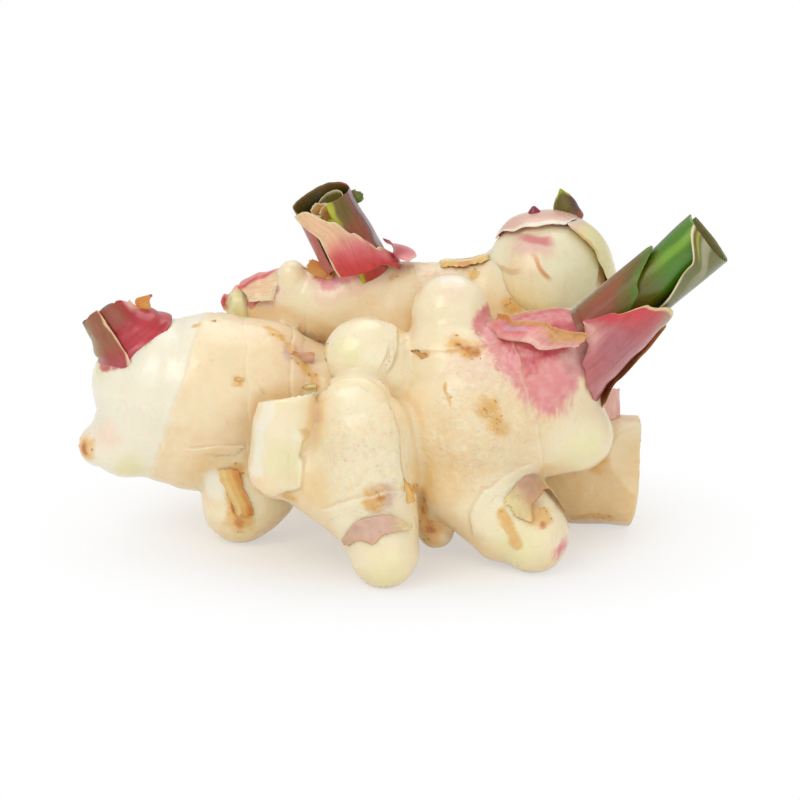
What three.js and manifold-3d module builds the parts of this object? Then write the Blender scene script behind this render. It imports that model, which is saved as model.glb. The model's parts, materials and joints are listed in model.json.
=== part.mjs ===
// A young galangal rhizome: one branched, many-lobed root stock that lies on its blunt lobes, with two cut
// shoots of rolled leaf sheaths, buds wrapped in scale leaves, and dry scale remnants at the old leaf scars.
// Millimetres, +Z up, -Y is the front. The origin is the middle of the bounding box, on the resting plane.
import * as THREE from "three";
import { mergeVertices } from "three/addons/utils/BufferGeometryUtils.js";
import Module from "manifold-3d";

const wasm = await Module();
wasm.setup();

// ---- Driving dimensions -----------------------------------------------------------------------------
const SIZE = 1; // overall scale of the whole hand
const SKIN_CELL = 4.5; // facet size of the root stock
const SOFT_JOINT = 5; // how broadly one lobe flows into the next
const TIGHT_JOINT = 2.2; // how sharply a younger lobe sits on an older one
const GAP = 0.45; // clearance between a scale leaf and the root stock
const LAYER_GAP = 0.32; // clearance between rolled leaf layers
const LEAF = 0.9; // thickness of a scale leaf or a rolled sheath
const DRY = 0.8; // thickness of a dry scale remnant
const FOOT_CUT = 0.6; // how much of each foot is pressed flat by its own weight

// ---- The root stock's limbs -------------------------------------------------------------------------
// Each limb is a row of [x, y, z, radius] along its middle line. A flowing limb melts into the ones before
// it, a budding limb sits on them with a crease.
const flowing = (...line) => ({ joint: SOFT_JOINT, line });
const budding = (...line) => ({ joint: TIGHT_JOINT, line });

const FRONT_LIMBS = [
  flowing([15, -17, 25, 15], [19, -15, 38, 19], [13, -13, 50, 13]), // front body
  flowing([20, -15, 38, 18], [32, -14, 41, 16.5], [35.5, -14, 48, 15.4]), // towards the right shoot
  flowing([35.5, -14, 48, 15.4], [42.5, -14.7, 54.5, 9.3], [47, -15.2, 58.5, 4.3]), // right shoot's foot
  budding([-11, -27.5, 42.5, 9.5], [-9, -28.5, 36, 12], [-8, -29.5, 25, 12.5]), // front left lobe
  flowing([-21, -26, 24.5, 9.8], [-12, -31, 18.5, 8.8], [-7, -34, 15, 9]), // front left lobe's belly
  budding([-7, -31, 22, 11], [-4, -38, 8.5, 8.8]), // front left foot
  flowing([0, -14, 30, 14], [14, -14, 34, 16]), // neck behind the front left lobe
  budding([1, -11, 46, 10], [-9, -16, 52.8, 9.8]), // upper left knob
  budding([14, -9, 50, 11], [13, -8, 61.5, 10]), // upper middle knob
  flowing([30, -16, 33, 13], [44.5, -17, 32.3, 9.6]), // right lobe
  flowing([18, -21, 21, 11.5], [27, -25, 12.5, 11]), // right leg
  budding([27, -24, 15, 11], [33.5, -28.5, 9.4, 9.4]), // right front foot
  budding([8, -19, 14, 7], [9, -20, 7.5, 4.6]), // small middle foot
  budding([-20, -21, 27, 8.5], [-30.3, -26, 26.5, 8], [-28.6, -27, 38, 8], [-27.2, -27.5, 48, 6.8]), // stub
];
const LEFT_LIMBS = [
  flowing([-66, 0, 40, 14], [-60, 1, 39, 18], [-49, 1, 38, 20.5], [-37, 2, 38, 18]), // left body
  flowing([-66, -2, 28, 11.5], [-54, -1, 26, 13.8], [-42, 0, 27, 13]), // left body's belly
  flowing([-37, 2, 38, 17], [-26, 2, 38, 12.5], [-8, -6, 36, 13]), // left body's neck
  budding([-65, 0, 44, 12], [-70, -0.5, 52, 7.2], [-72.5, -1, 56.5, 3.6]), // left bud
  budding([-63, -3, 30, 12], [-71, -5, 27, 10], [-76.8, -6.5, 26, 6]), // left lobe
  budding([-42, -2, 28, 11.5], [-41.5, -6, 17, 10.4], [-41.5, -8, 10, 9.9]), // left foot
  flowing([-41, -3, 22, 10], [-35, -6, 13, 8.4]), // left foot's right side
];
const REAR_LIMBS = [
  flowing([-42.6, 24, 54.4, 4], [-36.8, 23, 55.2, 6.2], [-28, 22, 56.3, 8.7], [-15, 20, 57, 10.6]), // finger
  flowing([-15, 20, 57.1, 10.6], [2, 18, 57.5, 10.6], [16, 20, 59.2, 8.4], [28, 21, 58.6, 11.6]), // ridge
  budding([-28.5, 19, 60, 6], [-28.5, 17.5, 65, 3.6]), // finger's knob
  budding([-8, 17, 62, 8], [-11.5, 14.5, 69, 6], [-13.2, 13.4, 73, 4.2]), // rear shoot's foot
  flowing([34, 20, 52, 13], [38.2, 22, 62.3, 15.6], [39.2, 22, 62.2, 15.4]), // top bud
  flowing([37, 20, 50, 12], [40, 18, 36, 11.5], [42, 13, 22, 12.5], [46, 9, 15, 14]), // rear right limb
  flowing([46, 9, 14.8, 14.6], [70, 3, 14.6, 14.8]), // cut end
  flowing([0, 17, 48, 13], [10, 20, 32, 16], [26, 18, 40, 15]), // rear body
  budding([4, 24, 24, 13], [-2, 30, 10.5, 10.7]), // rear foot
  budding([-8, 22, 40, 12], [-24, 32, 33, 10], [-33, 37, 31, 7]), // rear left lobe
  budding([22, 28, 38, 12], [31, 38, 34, 9.5], [35, 43, 34, 6]), // rear right lobe
];
const LIMBS = [...FRONT_LIMBS, ...LEFT_LIMBS, ...REAR_LIMBS];

// Flat faces where the hand was cut or broken: a point on the face, the way it looks, half the knife's width
// and how far in front of the face it clears.
const CUTS = [
  { at: [-27.5, -27.5, 45.6], facing: [-0.14, 0.3, 0.94], reach: 10.5, depth: 16 }, // stub's top
  { at: [61.7, 4, 14], facing: [1, 0.02, -0.09], reach: 24, depth: 40 }, // cut end
  { at: [57, -6.2, 21], facing: [0.25, -0.8, 0.55], reach: 14, depth: 5 }, // pared side of the cut end
];

// ---- The skin over the limbs ------------------------------------------------------------------------
function distanceToLine(x, y, z, line) {
  let least = Infinity;
  for (let i = 0; i + 1 < line.length; i++) {
    const [ax, ay, az, ar] = line[i];
    const [bx, by, bz, br] = line[i + 1];
    const [dx, dy, dz] = [bx - ax, by - ay, bz - az];
    const along = ((x - ax) * dx + (y - ay) * dy + (z - az) * dz) / (dx * dx + dy * dy + dz * dz);
    const t = Math.min(1, Math.max(0, along));
    const away = Math.hypot(x - ax - t * dx, y - ay - t * dy, z - az - t * dz);
    least = Math.min(least, away - ar - t * (br - ar));
  }
  return least;
}

function softUnion(a, b, width) {
  const h = Math.max(width - Math.abs(a - b), 0) / width;
  return Math.min(a, b) - (h * h * width) / 4;
}

function skinDistance(x, y, z) {
  let d = Infinity;
  for (const { joint, line } of LIMBS) {
    const limb = distanceToLine(x, y, z, line);
    d = d === Infinity ? limb : softUnion(d, limb, joint);
  }
  return d;
}

// A grid cell's corners, its edges and its faces as corner numbers, a face's corners in turn.
const CORNERS = [0, 1, 2, 3, 4, 5, 6, 7].map((c) => [c & 1, (c >> 1) & 1, c >> 2]);
const EDGES = [];
for (let a = 0; a < 8; a++) for (const bit of [1, 2, 4]) if (!(a & bit)) EDGES.push([a, a | bit]);
const FACES = [[0, 1, 3, 2], [4, 5, 7, 6], [0, 1, 5, 4], [2, 3, 7, 6], [0, 2, 6, 4], [1, 3, 7, 5]];

const JUST_INSIDE = -1e-3; // a grid point just under the skin

// Fills the gaps that are too narrow for the grid, where two sheets of skin would meet in one cell.
function fillTightSpots(value, [nx, ny, nz], index) {
  const isSplit = (v) => {
    if (FACES.some(([a, b, c, d]) => v[a] < 0 === v[c] < 0 && v[b] < 0 === v[d] < 0 && v[a] < 0 !== v[b] < 0))
      return true;
    const group = v.map((_, i) => i);
    for (let pass = 0; pass < 7; pass++)
      for (const [a, b] of EDGES)
        if (v[a] < 0 === v[b] < 0) group[a] = group[b] = Math.min(group[a], group[b]);
    return new Set(group).size > 2;
  };
  for (let filled = 1; filled; ) {
    filled = 0;
    for (let k = 0; k + 1 < nz; k++)
      for (let j = 0; j + 1 < ny; j++)
        for (let i = 0; i + 1 < nx; i++) {
          const at = CORNERS.map(([a, b, c]) => index(i + a, j + b, k + c));
          const v = at.map((n) => value[n]);
          if (!v.some((d) => d < 0) || !isSplit(v)) continue;
          const nearest = at.filter((n) => value[n] >= 0).sort((a, b) => value[a] - value[b])[0];
          value[nearest] = JUST_INSIDE;
          filled++;
        }
  }
}

// A closed surface where distance(x, y, z) equals level: one vertex in each grid cell that the surface
// crosses, and one quad across each grid edge that it crosses.
function surfaceOf(distance, low, high, cell, level) {
  const count = high.map((h, i) => Math.ceil((h - low[i]) / cell) + 1);
  const [nx, ny, nz] = count;
  const index = (i, j, k) => (k * ny + j) * nx + i;
  const value = new Float32Array(nx * ny * nz);
  for (let k = 0; k < nz; k++)
    for (let j = 0; j < ny; j++)
      for (let i = 0; i < nx; i++)
        value[index(i, j, k)] = distance(low[0] + i * cell, low[1] + j * cell, low[2] + k * cell) - level;

  fillTightSpots(value, count, index);
  const vertexOf = new Map();
  const positions = [];
  for (let k = 0; k + 1 < nz; k++)
    for (let j = 0; j + 1 < ny; j++)
      for (let i = 0; i + 1 < nx; i++) {
        const v = CORNERS.map(([a, b, c]) => value[index(i + a, j + b, k + c)]);
        const crossed = EDGES.filter(([a, b]) => v[a] < 0 !== v[b] < 0);
        if (!crossed.length) continue;
        const sum = new THREE.Vector3();
        for (const [a, b] of crossed) {
          const t = v[a] / (v[a] - v[b]);
          sum.x += CORNERS[a][0] + t * (CORNERS[b][0] - CORNERS[a][0]);
          sum.y += CORNERS[a][1] + t * (CORNERS[b][1] - CORNERS[a][1]);
          sum.z += CORNERS[a][2] + t * (CORNERS[b][2] - CORNERS[a][2]);
        }
        sum.divideScalar(crossed.length).add(new THREE.Vector3(i, j, k)).multiplyScalar(cell);
        const point = sum.add(new THREE.Vector3(...low));
        settle(point, distance, level);
        vertexOf.set(index(i, j, k), positions.length / 3);
        positions.push(point.x, point.y, point.z);
      }

  const triangles = [];
  const steps = [[1, 0, 0], [0, 1, 0], [0, 0, 1]];
  for (let k = 1; k + 1 < nz; k++)
    for (let j = 1; j + 1 < ny; j++)
      for (let i = 1; i + 1 < nx; i++)
        for (let axis = 0; axis < 3; axis++) {
          const here = value[index(i, j, k)] < 0;
          const [a, b, c] = steps[axis];
          if (here === value[index(i + a, j + b, k + c)] < 0) continue;
          const s = steps[(axis + 1) % 3];
          const t = steps[(axis + 2) % 3];
          const around = [[0, 0], [1, 0], [1, 1], [0, 1]].map(([p, q]) =>
            vertexOf.get(index(i - p * s[0] - q * t[0], j - p * s[1] - q * t[1], k - p * s[2] - q * t[2])),
          );
          pushQuad(triangles, here ? around : around.reverse());
        }
  return meshOf(positions, triangles);
}

// Moves a point along the slope until it lies on the surface, a little short each time so that it can't
// jump across a crease.
function settle(point, distance, level) {
  const e = 0.05; // how far to each side the slope is measured
  for (let pass = 0; pass < 3; pass++) {
    const { x, y, z } = point;
    const d = distance(x, y, z) - level;
    const slope = new THREE.Vector3(
      distance(x + e, y, z) - distance(x - e, y, z),
      distance(x, y + e, z) - distance(x, y - e, z),
      distance(x, y, z + e) - distance(x, y, z - e),
    ).divideScalar(2 * e);
    const steep = slope.lengthSq(); // 1 on a clean surface, near 0 in a crease
    if (steep > 0.04) point.addScaledVector(slope, (-0.7 * d) / steep);
  }
}

function pushQuad(triangles, [a, b, c, d]) {
  triangles.push(a, b, c, a, c, d);
}

function meshOf(positions, triangles) {
  const geometry = new THREE.BufferGeometry();
  geometry.setAttribute("position", new THREE.Float32BufferAttribute(positions, 3));
  geometry.setIndex(triangles);
  return geometry;
}

// ---- Solids for cutting and joining -----------------------------------------------------------------
function solidOf(geometry) {
  const bare = geometry.clone();
  for (const name of Object.keys(bare.attributes)) if (name !== "position") bare.deleteAttribute(name);
  const merged = mergeVertices(bare, 1e-4);
  return new wasm.Manifold(
    new wasm.Mesh({
      numProp: 3,
      vertProperties: new Float32Array(merged.attributes.position.array),
      triVerts: new Uint32Array(merged.index.array),
    }),
  );
}

function geometryOf(solid) {
  const { vertProperties, triVerts, numProp } = solid.getMesh();
  const positions = [];
  for (let i = 0; i < vertProperties.length; i += numProp)
    positions.push(...vertProperties.subarray(i, i + 3));
  return meshOf(positions, [...triVerts]);
}

// A box that lies on a flat face and swallows what stands in front of it.
function cutterOf({ at, facing, reach, depth }) {
  const look = new THREE.Vector3(...facing).normalize();
  const box = new THREE.BoxGeometry(reach * 2, reach * 2, depth);
  const turn = new THREE.Quaternion().setFromUnitVectors(new THREE.Vector3(0, 0, 1), look);
  const middle = new THREE.Vector3(...at).addScaledVector(look, depth / 2);
  return solidOf(box.applyQuaternion(turn).translate(middle.x, middle.y, middle.z));
}

function largest(solid) {
  return solid.decompose().sort((a, b) => b.volume() - a.volume())[0];
}

// The root stock, and the space round it that the leaves keep out of.
const SPAN = { low: [-92, -52, -8], high: [92, 62, 96] }; // holds every limb with room to spare
const skinAt = (level) => solidOf(surfaceOf(skinDistance, SPAN.low, SPAN.high, SKIN_CELL, level));
const floorCut = { at: [0, 0, FOOT_CUT], facing: [0, 0, -1], reach: 200, depth: 40 };
const rootStock = [floorCut, ...CUTS].map(cutterOf).reduce((body, cut) => body.subtract(cut), skinAt(0));
const rootSpace = skinAt(GAP);

// ---- Scale leaves and sheaths -----------------------------------------------------------------------
// Every leaf wraps round a straight axis. Angle 0 faces the front and 90 degrees the right of an axis that
// points up. u runs from 0 to 1 across the leaf and v from its foot to its margin.
const radians = THREE.MathUtils.degToRad;

function axisFrom(foot, head) {
  const start = new THREE.Vector3(...foot);
  const up = new THREE.Vector3(...head).sub(start).normalize();
  const front = new THREE.Vector3(0, -1, 0).addScaledVector(up, up.y).normalize();
  return { start, up, front, side: new THREE.Vector3().crossVectors(up, front) };
}

// Sections of a leaf: how high and how far out it stands at t, which is millimetres on a tube and degrees
// above the middle on a dome. Both lie inset millimetres inside the outer face.
const tube = (radius) => (t, angle, inset) => [t, radius(t, angle) - inset];
const dome = (centre, size) => (t, angle, inset) => {
  const reach = size - inset;
  return [centre + reach * Math.sin(radians(t)), reach * Math.cos(radians(t))];
};

const OVERRUN = 0.03; // how far a leaf's clearance runs past its edges, as a share of its size

// The solid of a leaf. With a clearance it comes out larger all over, to keep its neighbours off it.
function leafSolid({ axis, section, sides, reach, thick = LEAF, across = 9, along = 5 }, clearance = 0) {
  const over = clearance ? OVERRUN : 0;
  const pointAt = (p, q, inset) => {
    const u = p + (2 * p - 1) * over;
    const v = q + (2 * q - 1) * over;
    const [first, last] = sides(v);
    const [low, high] = reach(u);
    const angle = first + (last - first) * u;
    const [rise, out] = section(low + (high - low) * v, angle, inset);
    return axis.start.clone().addScaledVector(axis.up, rise)
      .addScaledVector(axis.front, out * Math.cos(radians(angle)))
      .addScaledVector(axis.side, out * Math.sin(radians(angle)));
  };
  return solidOf(shellOf(pointAt, -clearance, thick + clearance, across, along));
}

// A closed shell between the sheets pointAt(u, v, outer) and pointAt(u, v, inner).
function shellOf(pointAt, outer, inner, across, along) {
  const positions = [];
  const row = across + 1;
  for (const inset of [outer, inner])
    for (let j = 0; j <= along; j++)
      for (let i = 0; i <= across; i++) positions.push(...pointAt(i / across, j / along, inset));
  const back = row * (along + 1);
  const at = (i, j) => j * row + i;
  const triangles = [];
  for (let j = 0; j < along; j++)
    for (let i = 0; i < across; i++) {
      const quad = [at(i, j), at(i + 1, j), at(i + 1, j + 1), at(i, j + 1)];
      pushQuad(triangles, quad);
      pushQuad(triangles, quad.map((n) => n + back).reverse());
    }
  const rim = (a, b) => pushQuad(triangles, [b, a, a + back, b + back]);
  for (let i = 0; i < across; i++) {
    rim(at(i, 0), at(i + 1, 0));
    rim(at(i + 1, along), at(i, along));
  }
  for (let j = 0; j < along; j++) {
    rim(at(0, j + 1), at(0, j));
    rim(at(across, j), at(across, j + 1));
  }
  return meshOf(positions, triangles);
}

const ROD_SIDES = 10;

// A solid of revolution round an axis, from [height, radius] pairs.
function rodSolid(axis, pairs) {
  const outline = pairs.map(([height, radius]) => new THREE.Vector2(radius, height));
  const lathe = new THREE.LatheGeometry(outline, ROD_SIDES);
  const turn = new THREE.Quaternion().setFromUnitVectors(new THREE.Vector3(0, 1, 0), axis.up);
  return solidOf(lathe.applyQuaternion(turn).translate(...axis.start));
}

// Smooth interpolation through [position, value] pairs.
function profile(...pairs) {
  return (s) => {
    const next = pairs.findIndex(([p]) => p >= s);
    if (next === 0) return pairs[0][1];
    if (next < 0) return pairs.at(-1)[1];
    const [[p0, v0], [p1, v1]] = [pairs[next - 1], pairs[next]];
    return v0 + (v1 - v0) * THREE.MathUtils.smoothstep(s, p0, p1);
  };
}

// ---- Materials --------------------------------------------------------------------------------------
const finish = (color, roughness) => new THREE.MeshStandardMaterial({ color, roughness, metalness: 0 });
const rootSkin = finish(0xe8d2a6, 0.45);
const greenSheath = finish(0x7b9827, 0.4);
const greySheath = finish(0x7d8358, 0.45);
const brownSheath = finish(0x80672f, 0.5);
const pinkBract = finish(0xbe7b77, 0.4);
const crimsonScale = finish(0xbf3738, 0.4);
const creamScale = finish(0xe8d6b4, 0.45);
const oliveScale = finish(0x9b7c50, 0.5);
const dryScale = finish(0xc98d4b, 0.7);

const hand = new THREE.Group();
function add(name, solid, material) {
  const mesh = new THREE.Mesh(geometryOf(solid), material);
  mesh.name = name;
  hand.add(mesh);
}

// Adds a leaf, trimmed to clear the root stock and every piece of its own cluster that is already there.
function addLeaf(name, cluster, leaf, material) {
  const solid = leaf.pairs ? rodSolid(leaf.axis, leaf.pairs) : leafSolid(leaf);
  const clear = cluster.reduce((rest, other) => rest.subtract(other), solid.subtract(rootSpace));
  add(name, largest(clear), material);
  cluster.push(leaf.pairs ? solid : leafSolid(leaf, LAYER_GAP));
}

add("root_stock", rootStock, rootSkin);

// ---- Right shoot: a cut stem of rolled sheaths in a pink bract --------------------------------------
const rightShoot = axisFrom([36, -14.5, 48.5], [73.2, -18, 82.5]);
const rightCluster = [];
addLeaf("right_shoot_heart", rightCluster, {
  axis: rightShoot,
  pairs: [[8, 0], [8, 4.2], [30, 4.2], [46, 3.7], [48, 2.2], [48.4, 0]],
}, greenSheath);
addLeaf("right_shoot_inner_sheath", rightCluster, {
  axis: rightShoot,
  section: tube(profile([10, 5.5], [38, 5.8], [52, 6.6])),
  sides: () => [-178, 122],
  reach: (u) => [10, profile([0, 50], [0.3, 54], [0.5, 53.4], [0.7, 48], [1, 42])(u)],
}, greenSheath);
addLeaf("right_shoot_side_sheath", rightCluster, {
  axis: rightShoot,
  section: tube(profile([8, 7.1], [40, 7.1])),
  sides: () => [-165, 30],
  reach: (u) => [8, profile([0, 26], [0.45, 42], [0.75, 33], [1, 22])(u)],
}, brownSheath);
addLeaf("right_shoot_outer_sheath", rightCluster, {
  axis: rightShoot,
  section: tube(profile([10, 8.4], [50, 8.2])),
  sides: (v) => [profile([0, 45], [0.55, 35], [0.84, 8], [1, -45])(v), 205],
  reach: (u) => [10, profile([0, 53.8], [0.35, 53.2], [0.6, 53.4], [1, 53.6])(u)],
  across: 10,
  along: 6,
}, greySheath);
addLeaf("right_shoot_bract", rightCluster, {
  axis: rightShoot,
  section: tube(profile([3, 16.4], [13, 12.8], [22, 11.8], [31, 10.7], [36, 9.7])),
  sides: () => [-30, 165],
  reach: (u) => [
    profile([0, 18], [0.12, 15.8], [0.22, 10.9], [0.37, 7.5], [0.57, 3.8], [1, 9])(u),
    profile([0, 19.4], [0.09, 25.7], [0.2, 33.1], [0.36, 35.9], [0.62, 33.5], [0.8, 28], [1, 21])(u),
  ],
  across: 12,
  along: 5,
}, pinkBract);
addLeaf("right_shoot_back_scale", rightCluster, {
  axis: rightShoot,
  section: tube(profile([3, 17.8], [13, 14.1], [22, 13.2], [31, 12.2])),
  sides: () => [78, 160],
  reach: (u) => [2.5, profile([0, 20], [0.25, 31], [0.6, 24], [1, 14])(u)],
  thick: DRY,
}, brownSheath);
addLeaf("right_shoot_torn_flap", rightCluster, {
  axis: rightShoot,
  section: tube(profile([-3, 18.9], [5, 17.9], [12, 15.6], [18, 13.4])),
  sides: () => [-92, -12],
  reach: (u) => [
    profile([0, -3], [0.3, -0.8], [0.72, 5.9], [1, 13])(u),
    profile([0, 1.6], [0.3, 4.8], [0.6, 12.1], [1, 17.8])(u),
  ],
}, pinkBract);

// ---- Rear shoot: a shorter cut stem with a pointed pink scale ---------------------------------------
const rearShoot = axisFrom([-9, 15.5, 61.5], [-20.2, 9.5, 87.5]);
const rearCluster = [];
addLeaf("rear_shoot_heart", rearCluster, {
  axis: rearShoot,
  pairs: [[6, 0], [6, 3.4], [20, 3.2], [22, 1.8], [22.4, 0]],
}, oliveScale);
addLeaf("rear_shoot_inner_leaf", rearCluster, {
  axis: rearShoot,
  section: tube(profile([8, 5.6], [27, 5.3])),
  sides: () => [20, 250],
  reach: (u) => [8, profile([0, 26], [0.5, 28], [1, 25])(u)],
}, oliveScale);
const rearSpread = profile([0, 0], [70, 1], [130, 1], [200, 0]); // how much it flares on each side
const rearFlare = (t, angle) => profile([2, 2.2], [14, 1], [24, 0])(t) * rearSpread(angle);
addLeaf("rear_shoot_outer_sheath", rearCluster, {
  axis: rearShoot,
  section: tube((t, angle) => 7.8 + rearFlare(t, angle)),
  sides: () => [8, 322],
  reach: (u) => [
    profile([0, 5], [0.7, 5], [1, 11])(u),
    profile([0, 30], [0.3, 28.5], [0.6, 29], [0.85, 29.5], [1, 28])(u),
  ],
  across: 12,
}, brownSheath);
addLeaf("rear_shoot_pink_scale", rearCluster, {
  axis: rearShoot,
  section: tube((t, angle) => profile([3, 9.4], [12, 9])(t) + rearFlare(t, angle)),
  sides: (v) => [profile([0, -28], [0.6, -27], [1, -60])(v), 92],
  reach: (u) => [
    profile([0, 9.5], [0.6, 8], [1, 2])(u),
    profile([0, 29.3], [0.2, 30.6], [0.44, 25.5], [0.58, 20], [0.76, 12.5], [1, 6.5])(u),
  ],
  across: 12,
  along: 6,
}, pinkBract);
addLeaf("rear_shoot_skirt", rearCluster, {
  axis: rearShoot,
  section: tube(profile([2.6, 16.3], [8, 11.6])),
  sides: () => [72, 128],
  reach: (u) => [profile([0, 4.6], [0.5, 2.6], [1, 5])(u), 8.4],
  thick: DRY,
  across: 6,
  along: 3,
}, crimsonScale);
addLeaf("rear_shoot_scrap", rearCluster, {
  axis: axisFrom([-13.6, 13.8, 85.6], [-9.4, 13, 88.6]),
  section: tube(profile([0, 1.6], [3, 2.1], [5, 1.2])),
  sides: () => [-70, 100],
  reach: (u) => [0, profile([0, 4], [0.5, 5.2], [1, 3.8])(u)],
  thick: DRY,
  across: 4,
  along: 3,
}, greenSheath);

// ---- Left bud: a blunt bud, cut across, in crimson scales -------------------------------------------
const leftBud = axisFrom([-66, 1, 46], [-75.4, -2, 61.4]);
const leftCluster = [];
addLeaf("left_bud_heart", leftCluster, {
  axis: leftBud,
  pairs: [[12, 0], [12, 3.6], [17, 3.6], [18, 2.4], [18.2, 0]],
}, crimsonScale);
const leftSkin = profile([3, 12.2], [9, 8.7], [14, 6.5], [20, 5.7]);
const leftFlare = (t, angle) => profile([3, 4.4], [10, 1.6], [15, 0])(t) * profile([10, 0], [80, 1])(angle);
addLeaf("left_bud_crimson_scale", leftCluster, {
  axis: leftBud,
  section: tube((t, angle) => leftSkin(t) + leftFlare(t, angle)),
  sides: () => [-14, 165],
  reach: (u) => [
    profile([0, 3.4], [0.5, 6.2], [1, 6])(u),
    profile([0, 20.5], [0.35, 19.6], [0.6, 16.5], [1, 14])(u),
  ],
  across: 11,
}, crimsonScale);
addLeaf("left_bud_front_scale", leftCluster, {
  axis: leftBud,
  section: tube(profile([4, 12.4], [9, 9.6], [14, 7.7], [20, 6.9])),
  sides: () => [-150, -1],
  reach: (u) => [profile([0, 8], [0.6, 6.4], [1, 3.8])(u), profile([0, 16], [0.45, 18.4], [1, 21.4])(u)],
  across: 10,
}, oliveScale);
addLeaf("left_bud_dry_curl", leftCluster, {
  axis: axisFrom([-67.5, 2.5, 60.6], [-63.4, 1.5, 61.8]),
  section: tube(() => 2.2),
  sides: () => [-140, 30],
  reach: () => [0, 4.4],
  thick: DRY,
  across: 5,
  along: 2,
}, dryScale);

// ---- Top bud: a round bud whose scales overlap like a cabbage's -------------------------------------
const topBud = axisFrom([38.6, 22, 45], [38.9, 22, 85]);
const budOver = axisFrom([20, 22, 62.4], [57, 22, 62.4]); // runs across the bud, for the scale over its crown
const topCluster = [];
addLeaf("top_bud_front_scale", topCluster, {
  axis: topBud,
  section: dome(17.4, 17.2),
  sides: (v) => [profile([0, -55], [1, -100])(v), profile([0, 40], [1, 75])(v)],
  reach: (u) => [profile([0, -5], [0.5, -26], [1, -12])(u), profile([0, 60], [0.5, 76], [1, 66])(u)],
  across: 10,
  along: 7,
}, creamScale);
addLeaf("top_bud_back_scale", topCluster, {
  axis: topBud,
  section: dome(17.4, 17.2),
  sides: () => [95, 240],
  reach: () => [-22, 62],
  across: 10,
  along: 6,
}, creamScale);
addLeaf("top_bud_crown_scale", topCluster, {
  axis: budOver,
  section: dome(18.7, 18.8),
  sides: (v) => [-178, profile([0, -88], [0.25, -66], [0.5, -64], [0.8, -66], [1, -84])(v)],
  reach: (u) => [profile([0, -30], [1, -46])(u), profile([0, 30], [1, 26])(u)],
  across: 9,
  along: 8,
}, creamScale);
addLeaf("top_bud_right_scale", topCluster, {
  axis: topBud,
  section: dome(17.4, 18.8),
  sides: (v) => [profile([0, 70], [0.6, 50], [1, 36])(v), 150],
  reach: () => [-24, 66],
  across: 8,
  along: 7,
}, creamScale);
addLeaf("top_bud_leaf_tip", topCluster, {
  axis: axisFrom([45.2, 27, 76.5], [42.2, 25.8, 87]),
  section: tube(profile([0, 4.2], [5, 3.2], [10.6, 0.95])),
  sides: () => [-100, 110],
  reach: (u) => [0, profile([0, 8], [0.45, 10.6], [1, 8])(u)],
  thick: DRY,
  across: 6,
  along: 4,
}, oliveScale);
addLeaf("top_bud_purple_tip", topCluster, {
  axis: axisFrom([35.6, 22.6, 79], [35, 21.8, 83.4]),
  pairs: [[0, 0], [0, 1.9], [2, 1.6], [3.4, 0.5], [3.6, 0]],
}, crimsonScale);

// ---- Rear finger: scales over its pointed end -------------------------------------------------------
const finger = axisFrom([-16, 20, 57.1], [-43.6, 24, 54.6]);
const fingerCluster = [];
const fingerSkin = profile([2, 11.4], [12, 9.8], [20.5, 7.6], [27.5, 5.4], [30.5, 3]);
addLeaf("finger_tip_scale", fingerCluster, {
  axis: finger,
  section: tube((t) => fingerSkin(t) + 0.6),
  sides: () => [-60, 165],
  reach: (u) => [24, profile([0, 29], [0.4, 31.4], [1, 30])(u)],
  across: 8,
  along: 4,
}, creamScale);
addLeaf("finger_ridge_scale", fingerCluster, {
  axis: finger,
  section: tube((t) => fingerSkin(t) + 1.3),
  sides: () => [22, 120],
  reach: (u) => [profile([0, 16], [0.5, 13], [1, 15])(u), profile([0, 23], [0.5, 26.5], [1, 24])(u)],
  across: 7,
  along: 5,
}, pinkBract);

// ---- Torn and dry scales at the old leaf scars ------------------------------------------------------
const footCluster = [];
addLeaf("front_foot_torn_scale", footCluster, {
  axis: axisFrom([-7, -31, 22], [-4, -38, 8.5]),
  section: tube(profile([6, 11.9], [14, 10.2])),
  sides: () => [-58, 64],
  reach: (u) => [
    profile([0, 10.4], [0.35, 7.4], [0.6, 7.2], [1, 10.4])(u),
    profile([0, 12], [0.4, 12.6], [0.55, 14.4], [0.7, 12.8], [1, 12.4])(u),
  ],
  thick: DRY,
  along: 3,
}, dryScale);
addLeaf("right_foot_torn_scale", footCluster, {
  axis: axisFrom([27, -24, 15], [33.5, -28.5, 9.4]),
  section: tube(profile([-2, 13], [4, 12], [12, 10.2])),
  sides: () => [-135, -12],
  reach: (u) => [
    profile([0, 1], [0.5, -1.5], [1, 0])(u),
    profile([0, 6], [0.2, 10.5], [0.4, 5], [0.75, 5.5], [0.9, 9.5], [1, 6])(u),
  ],
  thick: DRY,
  across: 10,
  along: 4,
}, dryScale);
addLeaf("left_foot_dry_scale", footCluster, {
  axis: axisFrom([-41.5, -5, 26], [-41.5, -8, 10]),
  section: tube(profile([0, 12.2], [8, 11.2], [16, 10.8])),
  sides: (v) => [profile([0, -2], [1, -24])(v), profile([0, 28], [1, 4])(v)],
  reach: () => [5, 18],
  thick: DRY,
  across: 5,
  along: 5,
}, dryScale);
addLeaf("ridge_dry_curl", rearCluster, {
  axis: axisFrom([-17.5, 15, 65.5], [-24.8, 14, 70.4]),
  section: tube(() => 2.6),
  sides: () => [-120, 40],
  reach: () => [0, 8],
  thick: DRY,
  across: 5,
  along: 3,
}, dryScale);
addLeaf("ridge_dry_scale", footCluster, {
  axis: axisFrom([8, 19, 58.8], [26, 20.5, 59]),
  section: tube(profile([0, 11], [8, 9.9], [18, 11])),
  sides: () => [-118, -66],
  reach: (u) => [2, profile([0, 14], [0.5, 17], [1, 15])(u)],
  thick: DRY,
  across: 5,
  along: 5,
}, dryScale);
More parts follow.
